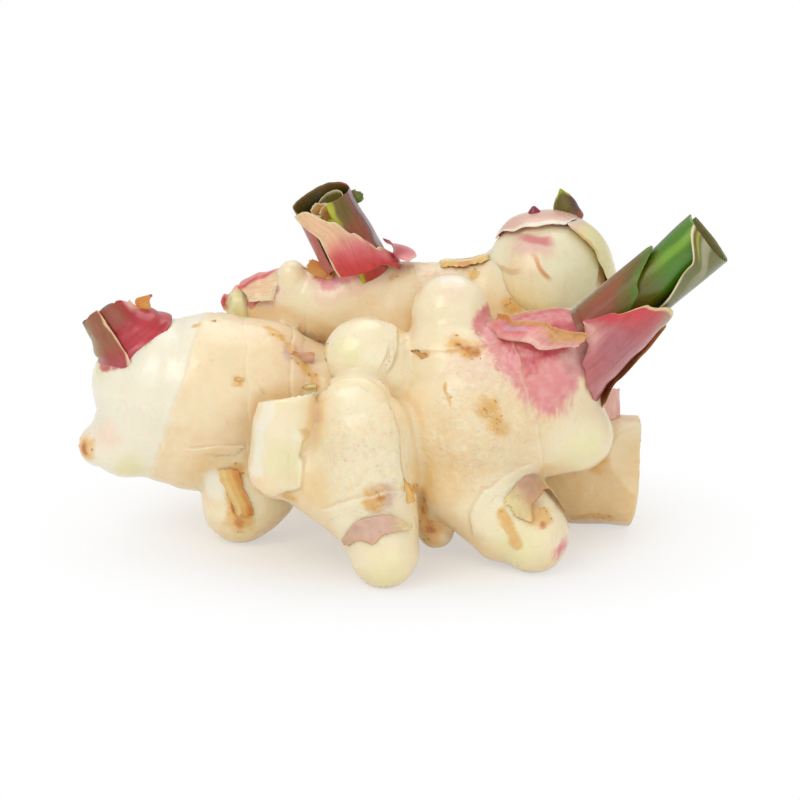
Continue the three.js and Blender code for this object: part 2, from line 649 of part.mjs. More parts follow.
addLeaf("cut_end_pink_scale", footCluster, {
  axis: axisFrom([52.6, 8, 27.5], [54, 8, 39]),
  section: tube(profile([0, 5.4], [10, 4.2])),
  sides: () => [-30, 130],
  reach: (u) => [0, profile([0, 8.6], [0.5, 10.4], [1, 8])(u)],
  thick: DRY,
  across: 6,
  along: 4,
}, pinkBract);

const box = new THREE.Box3().setFromObject(hand);
const middle = box.getCenter(new THREE.Vector3());
hand.position.set(-middle.x, -middle.y, -box.min.z).multiplyScalar(SIZE);
hand.scale.setScalar(SIZE);

export default hand;
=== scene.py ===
import bpy
import json
import math
import numpy as np
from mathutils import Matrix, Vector, noise

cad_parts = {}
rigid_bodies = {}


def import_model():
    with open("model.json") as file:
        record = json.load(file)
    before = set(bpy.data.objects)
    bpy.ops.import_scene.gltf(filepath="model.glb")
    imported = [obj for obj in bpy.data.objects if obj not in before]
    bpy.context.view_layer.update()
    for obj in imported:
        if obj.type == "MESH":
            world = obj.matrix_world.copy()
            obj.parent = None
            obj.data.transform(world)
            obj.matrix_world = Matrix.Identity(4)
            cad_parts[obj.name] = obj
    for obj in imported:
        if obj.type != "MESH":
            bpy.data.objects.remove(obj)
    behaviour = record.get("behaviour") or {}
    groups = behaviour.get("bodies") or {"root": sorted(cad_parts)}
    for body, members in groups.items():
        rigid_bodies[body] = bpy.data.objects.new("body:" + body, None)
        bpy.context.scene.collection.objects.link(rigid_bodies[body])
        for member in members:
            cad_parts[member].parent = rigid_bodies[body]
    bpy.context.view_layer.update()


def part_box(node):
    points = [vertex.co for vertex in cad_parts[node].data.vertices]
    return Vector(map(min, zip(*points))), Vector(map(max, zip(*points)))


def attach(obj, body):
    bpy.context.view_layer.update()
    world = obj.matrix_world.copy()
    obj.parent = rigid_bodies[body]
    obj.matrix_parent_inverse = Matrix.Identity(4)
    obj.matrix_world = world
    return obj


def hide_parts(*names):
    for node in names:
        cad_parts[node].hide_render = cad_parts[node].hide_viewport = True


# A hand of young galangal: the root stock with its lobes, the cut shoots in their sheaths, the buds in their
# scale leaves and the dry remnants. Shapes are worked out in millimetres, then set down in metres.
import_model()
print("frame loaded")


def profile(*pairs):
    # smooth interpolation through (place, value) pairs, for a number or an array
    places = np.array([p for p, value in pairs], float)
    values = np.array([value for p, value in pairs], float)

    def at(s):
        s = np.clip(s, places[0], places[-1])
        k = np.clip(np.searchsorted(places, s, side="left") - 1, 0, len(places) - 2)
        f = (s - places[k]) / (places[k + 1] - places[k])
        return values[k] + (values[k + 1] - values[k]) * f * f * (3 - 2 * f)

    return at


def smooth(s):
    s = np.clip(s, 0, 1)
    return s * s * (3 - 2 * s)


def rgb(red, green, blue):
    # a colour as it is seen, turned into the linear values that meshes and shaders hold
    seen = np.array([red, green, blue], float) / 255
    return tuple(np.where(seen <= 0.04045, seen / 12.92, ((seen + 0.055) / 1.055) ** 2.4))


def axisFrom(foot, head):
    # a straight axis; angle 0 faces the front, and 90 the right of an axis that points up
    start = np.array(foot, float)
    up = np.array(head, float) - start
    up /= np.linalg.norm(up)
    front = np.array([0, -1, 0]) + up * up[1]
    front /= np.linalg.norm(front)
    return start, up, front, np.cross(up, front)


def roundAxis(points, axis):
    # how far along an axis points lie, at which angle and how far out
    start, up, front, side = axis
    away = points - start
    rise, f, s = away @ up, away @ front, away @ side
    return rise, np.degrees(np.arctan2(s, f)), np.hypot(f, s)


# shader helpers
class Wire:  # a socket that can be used in sums
    def __init__(self, tree, socket):
        self.tree, self.socket = tree, socket

    def math(self, operation, *values, **settings):
        return self.tree.add("ShaderNodeMath", {"operation": operation, **settings}, values)

    def __add__(self, other): return self.math("ADD", self, other)
    def __radd__(self, other): return self.math("ADD", other, self)
    def __sub__(self, other): return self.math("SUBTRACT", self, other)
    def __rsub__(self, other): return self.math("SUBTRACT", other, self)
    def __mul__(self, other): return self.math("MULTIPLY", self, other)
    def __rmul__(self, other): return self.math("MULTIPLY", other, self)
    def most(self, other): return self.math("MAXIMUM", self, other)
    def clipped(self): return self.math("ADD", self, 0.0, use_clamp=True)

    def band(self, low, high):  # 0 below low, 1 above high, smooth between
        return self.tree.add("ShaderNodeMapRange", {"interpolation_type": "SMOOTHSTEP"},
                             {"Value": self, "From Min": low, "From Max": high})


class Finish:  # the node tree of a material, or of the world
    def __init__(self, name, world=None):
        self.material = world or bpy.data.materials.new(name)
        self.material.use_nodes = True
        self.nodes = self.material.node_tree.nodes
        self.nodes.clear()

    def add(self, kind, settings=None, sockets=(), out=0):
        node = self.nodes.new(kind)
        for name, value in (settings or {}).items():
            setattr(node, name, value)
        pairs = sockets.items() if isinstance(sockets, dict) else enumerate(sockets)
        for name, value in pairs:
            socket = node.inputs[name]
            if isinstance(value, Wire):
                self.material.node_tree.links.new(value.socket, socket)
            elif isinstance(value, tuple) and len(value) == 3 and socket.type == "RGBA":
                socket.default_value = (*value, 1)
            else:
                socket.default_value = value
        return Wire(self, node.outputs[out]) if node.outputs else None

    def mix(self, factor, a, b, blend="MIX"):  # of two colours
        return self.add("ShaderNodeMix", {"data_type": "RGBA", "blend_type": blend},
                        {0: factor, 6: a, 7: b}, out=2)

    def noise(self, place, scale, detail=3.0, distortion=0.0):
        return self.add("ShaderNodeTexNoise", {}, {
            "Vector": place, "Scale": scale, "Detail": detail, "Distortion": distortion})

    def place(self, scale=(1, 1, 1)):  # object coordinates, stretched
        spot = self.add("ShaderNodeTexCoord", out=3)
        if scale == (1, 1, 1):
            return spot
        return self.add("ShaderNodeVectorMath", {"operation": "MULTIPLY"}, [spot, scale])

    def split(self, name):  # the three numbers of a vertex attribute
        spot = self.add("ShaderNodeAttribute", {"attribute_name": name}, out=1)
        return [self.add("ShaderNodeSeparateXYZ", {}, [spot], out=k) for k in range(3)]

    def bump(self, height, distance, strength=1.0):
        return self.add("ShaderNodeBump", {}, {
            "Height": height, "Distance": distance, "Strength": strength})

    def surface(self, shader):
        self.add("ShaderNodeOutputMaterial", {}, [shader])
        return self.material


# the root stock
rootSizes = {
    "cell": 0.8,  # mesh size
    "flowing": 5,  # how broadly one lobe flows into the next
    "budding": 1.7,  # how sharply a young lobe sits on an older one
    "footCut": 0.6,  # the feet are flat where they rest
    "reach": 7,  # how far from a limb its distance is worked out
    "lumps": 0.45,  # height of the broad unevenness
    "dimples": 0.16,  # height of the small unevenness
}
limbs = {  # as in the part: how it joins, then x, y, z and radius along the middle line
    "front body": ("flowing", (15, -17, 25, 15), (19, -15, 38, 19), (13, -13, 50, 13)),
    "towards the shoot": ("flowing", (20, -15, 38, 18), (32, -14, 41, 16.5), (35.5, -14, 48, 15.4)),
    "right shoot's foot": (
        "flowing", (35.5, -14, 48, 15.4), (42.5, -14.7, 54.5, 9.3), (47, -15.2, 58.5, 4.3)),
    "front left lobe": ("budding", (-11, -27.5, 42.5, 9.5), (-9, -28.5, 36, 12), (-8, -29.5, 25, 12.5)),
    "its belly": ("flowing", (-21, -26, 24.5, 9.8), (-12, -31, 18.5, 8.8), (-7, -34, 15, 9)),
    "left front foot": ("budding", (-7, -31, 22, 11), (-4, -38, 8.5, 8.8)),
    "neck": ("flowing", (0, -14, 30, 14), (14, -14, 34, 16)),
    "upper left knob": ("budding", (1, -11, 46, 10), (-9, -16, 52.8, 9.8)),
    "upper middle knob": ("budding", (14, -9, 50, 11), (13, -8, 61.5, 10)),
    "right lobe": ("flowing", (30, -16, 33, 13), (44.5, -17, 32.3, 9.6)),
    "right leg": ("flowing", (18, -21, 21, 11.5), (27, -25, 12.5, 11)),
    "right front foot": ("budding", (27, -24, 15, 11), (33.5, -28.5, 9.4, 9.4)),
    "small middle foot": ("budding", (8, -19, 14, 7), (9, -20, 7.5, 4.6)),
    "stub": ("budding", (-20, -21, 27, 8.5), (-30.3, -26, 26.5, 8), (-28.6, -27, 38, 8),
             (-27.2, -27.5, 48, 6.8)),
    "left body": ("flowing", (-66, 0, 40, 14), (-60, 1, 39, 18), (-49, 1, 38, 20.5), (-37, 2, 38, 18)),
    "left body's belly": ("flowing", (-66, -2, 28, 11.5), (-54, -1, 26, 13.8), (-42, 0, 27, 13)),
    "left body's neck": ("flowing", (-37, 2, 38, 17), (-26, 2, 38, 12.5), (-8, -6, 36, 13)),
    "left bud": ("budding", (-65, 0, 44, 12), (-70, -0.5, 52, 7.2), (-72.5, -1, 56.5, 3.6)),
    "left lobe": ("budding", (-63, -3, 30, 12), (-71, -5, 27, 10), (-76.8, -6.5, 26, 6)),
    "left foot": ("budding", (-42, -2, 28, 11.5), (-41.5, -6, 17, 10.4), (-41.5, -8, 10, 9.9)),
    "left foot's side": ("flowing", (-41, -3, 22, 10), (-35, -6, 13, 8.4)),
    "finger": ("flowing", (-42.6, 24, 54.4, 4), (-36.8, 23, 55.2, 6.2), (-28, 22, 56.3, 8.7),
               (-15, 20, 57, 10.6)),
    "ridge": ("flowing", (-15, 20, 57.1, 10.6), (2, 18, 57.5, 10.6), (16, 20, 59.2, 8.4),
              (28, 21, 58.6, 11.6)),
    "finger's knob": ("budding", (-28.5, 19, 60, 6), (-28.5, 17.5, 65, 3.6)),
    "rear shoot's foot": ("budding", (-8, 17, 62, 8), (-11.5, 14.5, 69, 6), (-13.2, 13.4, 73, 4.2)),
    "top bud": ("flowing", (34, 20, 52, 13), (38.2, 22, 62.3, 15.6), (39.2, 22, 62.2, 15.4)),
    "rear right limb": (
        "flowing", (37, 20, 50, 12), (40, 18, 36, 11.5), (42, 13, 22, 12.5), (46, 9, 15, 14)),
    "cut end": ("flowing", (46, 9, 14.8, 14.6), (70, 3, 14.6, 14.8)),
    "rear body": ("flowing", (0, 17, 48, 13), (10, 20, 32, 16), (26, 18, 40, 15)),
    "rear foot": ("budding", (4, 24, 24, 13), (-2, 30, 10.5, 10.7)),
    "rear left lobe": ("budding", (-8, 22, 40, 12), (-24, 32, 33, 10), (-33, 37, 31, 7)),
    "rear right lobe": ("budding", (22, 28, 38, 12), (31, 38, 34, 9.5), (35, 43, 34, 6)),
}
knifeCuts = {  # a point on the flat face, the way it looks, half the knife's width, how far it clears
    "stub's top": ((-27.5, -27.5, 45.6), (-0.14, 0.3, 0.94), 10.5, 16),
    "cut end": ((61.7, 4, 14), (1, 0.02, -0.09), 24, 40),
    "pared side": ((57, -6.2, 21), (0.25, -0.8, 0.55), 14, 5),
    "resting plane": ((0, 0, 0.6), (0, 0, -1), 200, 40),
}


def limbDistance(points, line):
    nearest = np.full(points.shape[:-1], 1e3, np.float32)
    for a, b in zip(line[:-1], line[1:]):
        run = b[:3] - a[:3]
        t = np.clip(((points - a[:3]) @ run) / (run @ run), 0, 1)
        away = np.linalg.norm(points - a[:3] - t[..., None] * run, axis=-1)
        nearest = np.minimum(nearest, away - a[3] - t * (b[3] - a[3]))
    return nearest


def softUnion(a, b, width):
    h = np.maximum(width - np.abs(a - b), 0) / width
    return np.minimum(a, b) - h * h * width / 4


def knifeDistance(points, at, facing, reach, depth):
    # distance into the box that the knife sweeps in front of its face
    up = np.array(facing, float) / np.linalg.norm(facing)
    side = np.cross(up, (0, 1, 0) if abs(up[1]) < 0.9 else (1, 0, 0))
    side /= np.linalg.norm(side)
    away = points - np.array(at, float)
    high = away @ up
    wide = np.maximum(np.abs(away @ side), np.abs(away @ np.cross(up, side))) - reach
    return np.minimum(np.minimum(high, depth - high), -wide)


def rootDistance(points):
    field = np.full(points.shape[:-1], 30, np.float32)
    for joint, *line in limbs.values():
        field = softUnion(field, limbDistance(points, np.array(line, float)), rootSizes[joint])
    for cut in knifeCuts.values():
        field = np.maximum(field, knifeDistance(points, *cut))
    return field


def rootGrid(low, high):
    # the same distance on a grid, worked out only near each limb
    cell, reach = rootSizes["cell"], rootSizes["reach"]
    lines = [np.arange(low[k], high[k], cell) for k in range(3)]
    field = np.full([len(line) for line in lines], 30, np.float32)
    for joint, *line in limbs.values():
        line = np.array(line, float)
        nearLow = (line[:, :3] - line[:, 3:]).min(0) - reach
        nearHigh = (line[:, :3] + line[:, 3:]).max(0) + reach
        part = tuple(slice(*np.searchsorted(lines[k], (nearLow[k], nearHigh[k]))) for k in range(3))
        block = np.stack(np.meshgrid(*(lines[k][part[k]] for k in range(3)), indexing="ij"), -1)
        field[part] = softUnion(field[part], limbDistance(block, line), rootSizes[joint])
    for name, cut in knifeCuts.items():
        at, facing, width, depth = cut
        room = min(width, 40) + 2
        part = tuple(slice(None) if name == "resting plane" else
                     slice(*np.searchsorted(lines[k], (at[k] - room, at[k] + room))) for k in range(3))
        block = np.stack(np.meshgrid(*(lines[k][part[k]] for k in range(3)), indexing="ij"), -1)
        field[part] = np.maximum(field[part], knifeDistance(block, *cut))
    return lines, field


def surfaceNet(lines, field):
    # one point in each cell that the surface crosses, one face across each crossed grid edge
    inside = field < 0
    corners = [(i, j, k) for i in (0, 1) for j in (0, 1) for k in (0, 1)]
    n = [s - 1 for s in field.shape]
    count = sum(inside[i:i + n[0], j:j + n[1], k:k + n[2]].astype(np.int8) for i, j, k in corners)
    mixed = (count > 0) & (count < 8)
    cells = np.argwhere(mixed)
    number = np.full(mixed.shape, -1, np.int64)
    number[mixed] = np.arange(len(cells))
    values = np.stack([field[tuple((cells + c).T)] for c in corners], 1)
    total, hits = np.zeros((len(cells), 3)), np.zeros(len(cells))
    for a in range(8):
        for b in range(a + 1, 8):
            step = np.subtract(corners[b], corners[a])
            if np.abs(step).sum() != 1:
                continue
            crossed = (values[:, a] < 0) != (values[:, b] < 0)
            t = np.where(crossed, values[:, a] / np.where(crossed, values[:, a] - values[:, b], 1), 0)
            total += np.where(crossed[:, None], corners[a] + t[:, None] * step, 0)
            hits += crossed
    low = np.array([line[0] for line in lines])
    points = low + (cells + total / hits[:, None]) * (lines[0][1] - lines[0][0])
    faces = []
    for axis in range(3):
        one, two = np.eye(3, dtype=int)[(axis + 1) % 3], np.eye(3, dtype=int)[(axis + 2) % 3]
        last = [slice(1, -1)] * 3
        last[axis] = slice(1, None)
        first = list(last)
        first[axis] = slice(0, -1)
        here = np.zeros(field.shape, bool)
        here[tuple(first)] = inside[tuple(first)] != inside[tuple(last)]
        spots = np.argwhere(here)
        around = [spots - p * one - q * two for p, q in ((0, 0), (1, 0), (1, 1), (0, 1))]
        quad = np.stack([number[tuple(cell.T)] for cell in around], 1)
        solid = inside[tuple(spots.T)]
        quad[~solid] = quad[~solid][:, ::-1]
        faces.append(quad)
    return points, np.concatenate(faces)


def slopeOf(points, step=0.12):
    # which way the surface faces, from four nearby distances
    total = 0
    for corner in ((1, 1, 1), (1, -1, -1), (-1, 1, -1), (-1, -1, 1)):
        corner = np.array(corner, float)
        total = total + rootDistance(points + step * corner)[:, None] * corner
    return total / np.maximum(np.linalg.norm(total, axis=1, keepdims=True), 1e-6)


rootPoints, rootFaces = surfaceNet(*rootGrid((-86, -52, -3), (66, 53, 82)))
for turn in range(2):
    rootPoints = rootPoints - 0.8 * slopeOf(rootPoints) * rootDistance(rootPoints)[:, None]
rootNormals = slopeOf(rootPoints, 0.5)
print("root stock:", len(rootPoints), "points")


def wobble(points, size, shift=0.0):
    # smooth random numbers from -1 to 1 that change over a given size
    move = Vector((shift, 2 * shift, -shift))
    return np.array([noise.noise(Vector(p) / size + move) for p in points])


def stirred(points, size, amount, shift=0.0):
    return points + amount * np.stack([wobble(points, size, shift + k) for k in (3, 17, 31)], 1)


def lineDistance(points, line):
    line = np.array(line, float)
    best = np.full(len(points), 1e3)
    for a, b in zip(line[:-1], line[1:]):
        run = b - a
        t = np.clip(((points - a) @ run) / (run @ run), 0, 1)
        best = np.minimum(best, np.linalg.norm(points - a - t[:, None] * run, axis=1))
    return best


def painted(points, spots, lines=()):
    # 1 in the middle of each spot (x, y, z, radius) or line (width, points), 0.5 at its edge, fading to 0
    mask = np.zeros(len(points))
    for x, y, z, radius in spots:
        mask = np.maximum(mask, 1 - np.linalg.norm(points - (x, y, z), axis=1) / (2 * radius))
    for width, line in lines:
        mask = np.maximum(mask, 1 - lineDistance(points, line) / (2 * width))
    return np.clip(mask, 0, 1)


def stepAcross(points, normals, line):
    # how far across a line points lie, over 0 where it overlaps, how far from it, and its fade
    line = np.array(line, float)
    runs = np.diff(line, axis=0)
    sizes = np.linalg.norm(runs, axis=1)
    begins = np.concatenate([[0], np.cumsum(sizes)])
    nearest, across, along = np.full(len(points), 1e3), np.zeros(len(points)), np.zeros(len(points))
    for a, run, size, begin in zip(line, runs, sizes, begins):
        t = np.clip(((points - a) @ run) / size ** 2, 0, 1)
        away = points - a - t[:, None] * run
        distance = np.linalg.norm(away, axis=1)
        closer = distance < nearest
        nearest = np.where(closer, distance, nearest)
        across = np.where(closer, np.einsum("ij,ij->i", np.cross(run / size, normals), away), across)
        along = np.where(closer, begin + t * size, along)
    return across, nearest, smooth(along / 4) * smooth((begins[-1] - along) / 4)


def alongLimb(limb, share):
    # the place and the heading of a limb's middle line at a share of its length
    line = np.array(limbs[limb][1:], float)[:, :3]
    sizes = np.linalg.norm(np.diff(line, axis=0), axis=1)
    begins = np.concatenate([[0], np.cumsum(sizes)])
    k = min(np.searchsorted(begins, share * begins[-1], side="right"), len(sizes)) - 1
    heading = (line[k + 1] - line[k]) / sizes[k]
    return line[k] + (share * begins[-1] - begins[k]) * heading, heading


def outToSkin(starts, ways):
    # from inside the root stock straight out to its skin
    ways = ways / np.linalg.norm(ways, axis=1, keepdims=True)
    for turn in range(12):
        starts = starts - ways * rootDistance(starts)[:, None]
    return starts


def onSkin(*spots):
    # skin places, each seen from a limb's middle line at a share of its length, looking out one way
    return outToSkin(np.array([alongLimb(limb, share)[0] for limb, share, facing in spots]),
                     np.array([facing for limb, share, facing in spots], float))


def ring(limb, share, first, last):
    # a scar round a limb, as far as its skin lies open; the limb's far side overlaps as angles fall
    middle, heading = alongLimb(limb, share)
    start, up, front, side = axisFrom(middle, middle + heading)
    turn = np.radians(np.linspace(first, last, 25))[:, None]
    places = outToSkin(np.tile(middle, (25, 1)), np.cos(turn) * front + np.sin(turn) * side)
    away = np.linalg.norm(places - middle, axis=1)
    bare = np.flatnonzero(away < 1.5 * away.min())
    return places[max(np.split(bare, np.flatnonzero(np.diff(bare) > 1) + 1), key=len)]


firstRing = {"limb": "left body", "share": 0.3, "lean": 0.25, "reach": 20}  # its top leans to the far end
crease = onSkin(("left front foot", 0, (1, -0.5, 0.2)), ("neck", 0.3, (0, -1, -0.4)),
                ("neck", 0.3, (0.1, -1, -1)),
                ("small middle foot", 0.2, (-0.4, -1, 0)), ("small middle foot", 0.8, (0, -1, 0)))
scaleEdges = {  # height of the step, how far it fades away, and its line
    "front lobe's lip": (0.9, 7, onSkin(("stub", 1, (0.6, -0.6, 0.5)),
        ("front left lobe", 0, (-0.9, -0.4, 1)), ("front left lobe", 0, (0, -0.3, 1)),
        ("front left lobe", 0, (0.9, -0.5, 0.8)), ("front left lobe", 0.3, (1, -1, 0.3)),
        ("front left lobe", 0.6, (1, -1, 0)), ("front left lobe", 0.9, (1, -1, 0)),
        ("left front foot", 0, (1, -1, 0.2)))),
    "stub's edge": (0.8, 4, onSkin(("stub", 0.95, (0.8, -1, 0)), ("stub", 0.65, (0.7, -1, 0)),
        ("stub", 0.4, (0.6, -1, -0.4)), ("stub", 0.35, (-0.2, -1, -0.8)),
        ("stub", 0.35, (-1, -0.8, -0.6)))),
    "upper left knob's rim": (0.7, 4, ring("upper left knob", 0.8, 120, -120)),
    "knob's inner fold": (0.35, 3, ring("upper left knob", 1, 60, -60)),
    "right foot's edge": (0.45, 7, onSkin(("right leg", 1, (-1, -0.8, -0.4)),
        ("right leg", 0.8, (-0.8, -1, 0.3)), ("right leg", 0.6, (-0.3, -1, 0.8)),
        ("right lobe", 0.3, (0, -1, -0.3)))),
    "front foot's scar": (0.4, 5, ring("left front foot", 0.15, 70, -70)),
    "shoot's ring": (0.16, 4, ring("towards the shoot", 0.6, -110, 50)),
    "left body's second ring": (0.07, 5, ring("left body", 0.9, 60, -160)),
    "left body's end": (0.3, 4, ring("left body's neck", 0.3, 40, -150)),
    "lip under the left body": (0.4, 5, ring("left foot", 0.2, 60, -70)),
    "middle knob's edge": (0.2, 4, ring("upper middle knob", 0.5, 100, -100)),
    "ridge's low scale": (0.35, 5, ring("finger", 0.7, 70, 0)),
}
backRings = {  # rings round the limbs at the back, at shares of their length
    "rear left lobe": (0.5, 0.8),
    "rear right lobe": (0.45, 0.8),
    "rear foot": (0.35,),
    "ridge": (0.15, 0.5),
    "finger": (0.6,),
    "cut end": (0.25,),
    "rear right limb": (0.5,),
    "left body": (0.6,),
    "left body's neck": (0.3,),
}
for limb, shares in backRings.items():
    for share in shares:
        scaleEdges[f"{limb} {share}"] = (0.3, 4, ring(limb, share, 250, 110))

# the axes of the shoots and of the left bud, as in the part
rightShoot = axisFrom((36, -14.5, 48.5), (73.2, -18, 82.5))
rearShoot = axisFrom((-9, 15.5, 61.5), (-20.2, 9.5, 87.5))
leftBud = axisFrom((-66, 1, 46), (-75.4, -2, 61.4))
rootPaint = {  # spots: limb, share of its length, way out, size; lines: width, places
    # ivory: pale skin; its line down the stub's front-left edge is a painted highlight
    "ivory": ([("left body", 0.05, (-0.5, -1, 0.3), 9), ("left foot", 0.6, (-0.7, -1, 0), 3),
        ("upper middle knob", 1, (0, -0.2, 1), 3)],
        [(1.6, ("stub", 0.9, (-1, -1, 0)), ("stub", 0.4, (-1, -1, 0)))]),
    "cream": ([("front left lobe", 0, (0, -1, 0.6), 5), ("right lobe", 1, (0, -1, 0), 8),
        ("upper left knob", 0.8, (0, -1, 0.4), 7), ("finger", 0.6, (0, -1, 0.4), 8),
        ("top bud", 0.6, (-0.3, -1, 1), 7), ("its belly", 0.6, (0, -1, 0), 7), ("stub", 0.7, (0, -1, 0), 8),
        ("right leg", 0.7, (0, -1, 0.2), 7), ("cut end", 0.4, (0, -1, 1), 6)], []),
    "lime": ([("left body", 0, (-1, -0.4, 0.6), 4), ("left lobe", 0.6, (0.2, -1, -0.7), 4),
        ("right lobe", 0.9, (0.3, -1, -0.2), 5), ("left front foot", 1, (0, -1, -0.4), 5),
        ("right front foot", 0.8, (-0.3, -1, -0.2), 6), ("stub", 0.5, (0, -1, 0), 4),
        ("left foot", 1, (0.2, -1, -0.2), 3), ("upper left knob", 1, (-0.5, -1, 0.5), 3)], []),
    # honey spots sit on bellies and undersides and its line follows the crease: painted shade
    "honey": ([("left body's belly", 0.6, (0.2, -1, -0.4), 7), ("its belly", 0.2, (-0.4, -1, 0.2), 5),
        ("front body", 0.2, (-0.6, -1, -0.3), 7), ("cut end", 0.3, (0, -1, -0.6), 15),
        ("cut end", 0.8, (0, -1, -1), 12), ("right lobe", 0.6, (0, -1, -1), 5),
        ("left body's neck", 0.6, (0, -1, 0.3), 5), ("ridge", 0.5, (0, -1, -0.3), 6)], [(1.6, crease)]),
    "blush": ([("left lobe", 0.7, (-0.3, -1, 0.5), 3), ("upper middle knob", 1, (0, -0.6, 1), 3),
        ("left body's neck", 0.3, (0.2, -0.8, 1), 4), ("front body", 0.9, (0.4, -1, 0.5), 5),
        ("finger", 0.3, (0, -1, 0.5), 4), ("ridge", 0.6, (0, -1, 0.8), 5)], []),
    "pink": ([("right front foot", 1, (1, -0.8, -0.2), 2.4)], []),
    "mauve": ([("left body's neck", 0.3, (0, -0.7, 1), 2), ("left front foot", 0.1, (0.2, -1, 0.4), 3),
        ("right front foot", 0.3, (0.5, -1, 0.6), 2.4)], []),
    "crimson": ([], [(1, ("finger", 0.1, (0, -1, 0.4)), ("finger", 0.35, (0, -1, 1)))]),
    "gold": ([("left lobe", 1, (-1, -1, 0.1), 2.8), ("left body", 0.85, (0, -1, 0.45), 1.4),
        ("left body", 0.5, (0, -0.3, 1), 1.2), ("left foot", 1, (0, -1, -0.1), 3),
        ("left foot", 0.7, (-0.1, -1, 0), 2), ("stub", 0.3, (0.2, -1, -0.7), 1.7),
        ("small middle foot", 0.7, (-0.2, -1, 0), 3), ("right front foot", 0.4, (0.6, -1, 0.5), 2.6),
        ("left front foot", 0.2, (0, -1, 0.5), 2.6), ("cut end", 0.3, (-0.2, -1, 0.5), 2.4),
        ("rear foot", 1, (0, 1, 0), 2.4), ("upper middle knob", 0.5, (-0.5, -1, 0), 1),
        ("ridge", 0.3, (0, -0.8, 1), 1.2), ("ridge", 0.8, (0, -0.8, 1), 1.5),
        ("left body's neck", 0.5, (0, -1, 0.6), 1.5), ("front body", 0.7, (0.25, -1, 0.1), 2.6),
        ("front body", 0.6, (0.35, -1, 0), 2.2), ("top bud", 0, (-0.4, -1, 0.6), 2),
        ("rear left lobe", 1, (-0.4, 1, 0), 1.6)],
        [(1.9, ("front body", 1, (0, -1, 0.75)), ("front body", 1, (0.5, -1, 0.65))), (1.2, crease),
        (0.5, ("front body", 0.85, (-0.25, -1, 0.2)), ("front body", 0.75, (-0.22, -1, 0.1))),
        (1.5, ("left foot", 0.3, (0, -1, 0)), ("left foot", 0.9, (-0.2, -1, 0))),
        (1.3, ("right front foot", 0.1, (-0.2, -1, 0.3)), ("right front foot", 0.8, (-0.4, -1, 0))),
        (1.2, ("left body's neck", 0.1, (0, -0.2, 1)), ("left body's neck", 0.5, (0, -1, 0.7))),
        (1.5, ("cut end", 0, (0, -1, -0.9)), ("cut end", 0.6, (0, -1, -0.9)))]),
    "rust": ([("left lobe", 1, (-1, -1, 0.1), 1.4), ("left foot", 1, (0, -1, -0.2), 1.5),
        ("small middle foot", 0.7, (-0.2, -1, 0), 1.6), ("front body", 1, (0.55, -1, 0.6), 1.5),
        ("right front foot", 0.6, (0.5, -1, 0.4), 1), ("left front foot", 0.2, (0.2, -1, 0.5), 1)],
        [(0.5, crease), (0.8, ("front body", 1, (0.1, -1, 0.75)), ("front body", 1, (0.4, -1, 0.68))),
        (0.7, ("left foot", 0.4, (0, -1, 0)), ("left foot", 0.9, (-0.2, -1, 0)))]),
    "flaky": ([("front left lobe", 0.5, (0, -1, 0), 9), ("front body", 0.4, (0, -1, 0), 10),
        ("front body", 0.8, (0.3, -1, 0.2), 7), ("towards the shoot", 0.4, (0, -1, 0), 5),
        ("ridge", 0.6, (0, -0.8, 1), 7), ("rear body", 0.5, (0.3, 1, 0), 9),
        ("left front foot", 0.1, (0, -1, 0.3), 4)], []),
}


def placed(spots, lines):
    where = onSkin(*(spot[:3] for spot in spots)) if spots else []
    lines = [(width, line[0] if isinstance(line[0], np.ndarray) else onSkin(*line)) for width,
             *line in lines]
    return [(*place, spot[3]) for place, spot in zip(where, spots)], lines


rootPaint = {name: placed(*marks) for name, marks in rootPaint.items()}
for limb, (joint, *line) in limbs.items():  # young tips are pale
    if joint == "budding":
        rootPaint["cream"][0].append((*line[-1][:3], 1.1 * line[-1][3]))
loose, tight = stirred(rootPoints, 4.5, 1.6), stirred(stirred(rootPoints, 6, 0.8), 1.9, 0.22, 13)
finely = stirred(stirred(rootPoints, 2.2, 0.9, 5), 5, 0.8, 9)
paintMask = {}
for name, marks in rootPaint.items():
    paintMask[name] = painted(finely if name in ("gold", "rust") else loose, *marks)

# scale edges: one number tells how far past the nearest edge a point lies, another how strong the edge is;
# they set the bump and the painted highlight and shadow along each edge
ringMiddle, ringHeading = alongLimb(firstRing["limb"], firstRing["share"])
aboveRing = rootPoints[:, 2] - ringMiddle[2]
leftOfRing = (ringMiddle - rootPoints) @ ringHeading + firstRing["lean"] * aboveRing
leftOfRing += 0.9 * wobble(rootPoints, 6) + 0.3 * wobble(rootPoints, 2)
byRing = leftOfRing > -firstRing["reach"]
edgeAcross = np.where(byRing, -leftOfRing, 9.0)
edgeNear, edgeStrength = np.abs(edgeAcross), 0.22 * smooth((rootPoints[:, 2] - 14) / 8)
relief = 0.16 * smooth(edgeAcross / 0.9 + 0.5) * (1 - smooth(edgeNear / 8)) * byRing
for height, reach, line in scaleEdges.values():
    across, nearest, fade = stepAcross(tight, rootNormals, line)
    relief += height * fade * smooth(across / 0.9 + 0.5) * (1 - smooth(nearest / reach))
    closer = nearest < edgeNear
    edgeAcross, edgeNear = np.where(closer, across, edgeAcross), np.where(closer, nearest, edgeNear)
    edgeStrength = np.where(closer, fade * min(1, 1.5 * height + 0.12), edgeStrength)
edgeStrength *= (edgeNear < 3) * np.clip(0.75 + 0.6 * wobble(rootPoints, 5, 40), 0.15, 1)
edgeAcross = np.clip(edgeAcross, -3, 3)
creaseShade = np.clip(1 - rootDistance(rootPoints + 4.5 * rootNormals) / 4.5, 0, 1)  # how deep between two lobes, which sets the painted shade in the creases

paintMask["ivory"] = np.maximum(paintMask["ivory"], smooth(leftOfRing / 5 + 0.4))
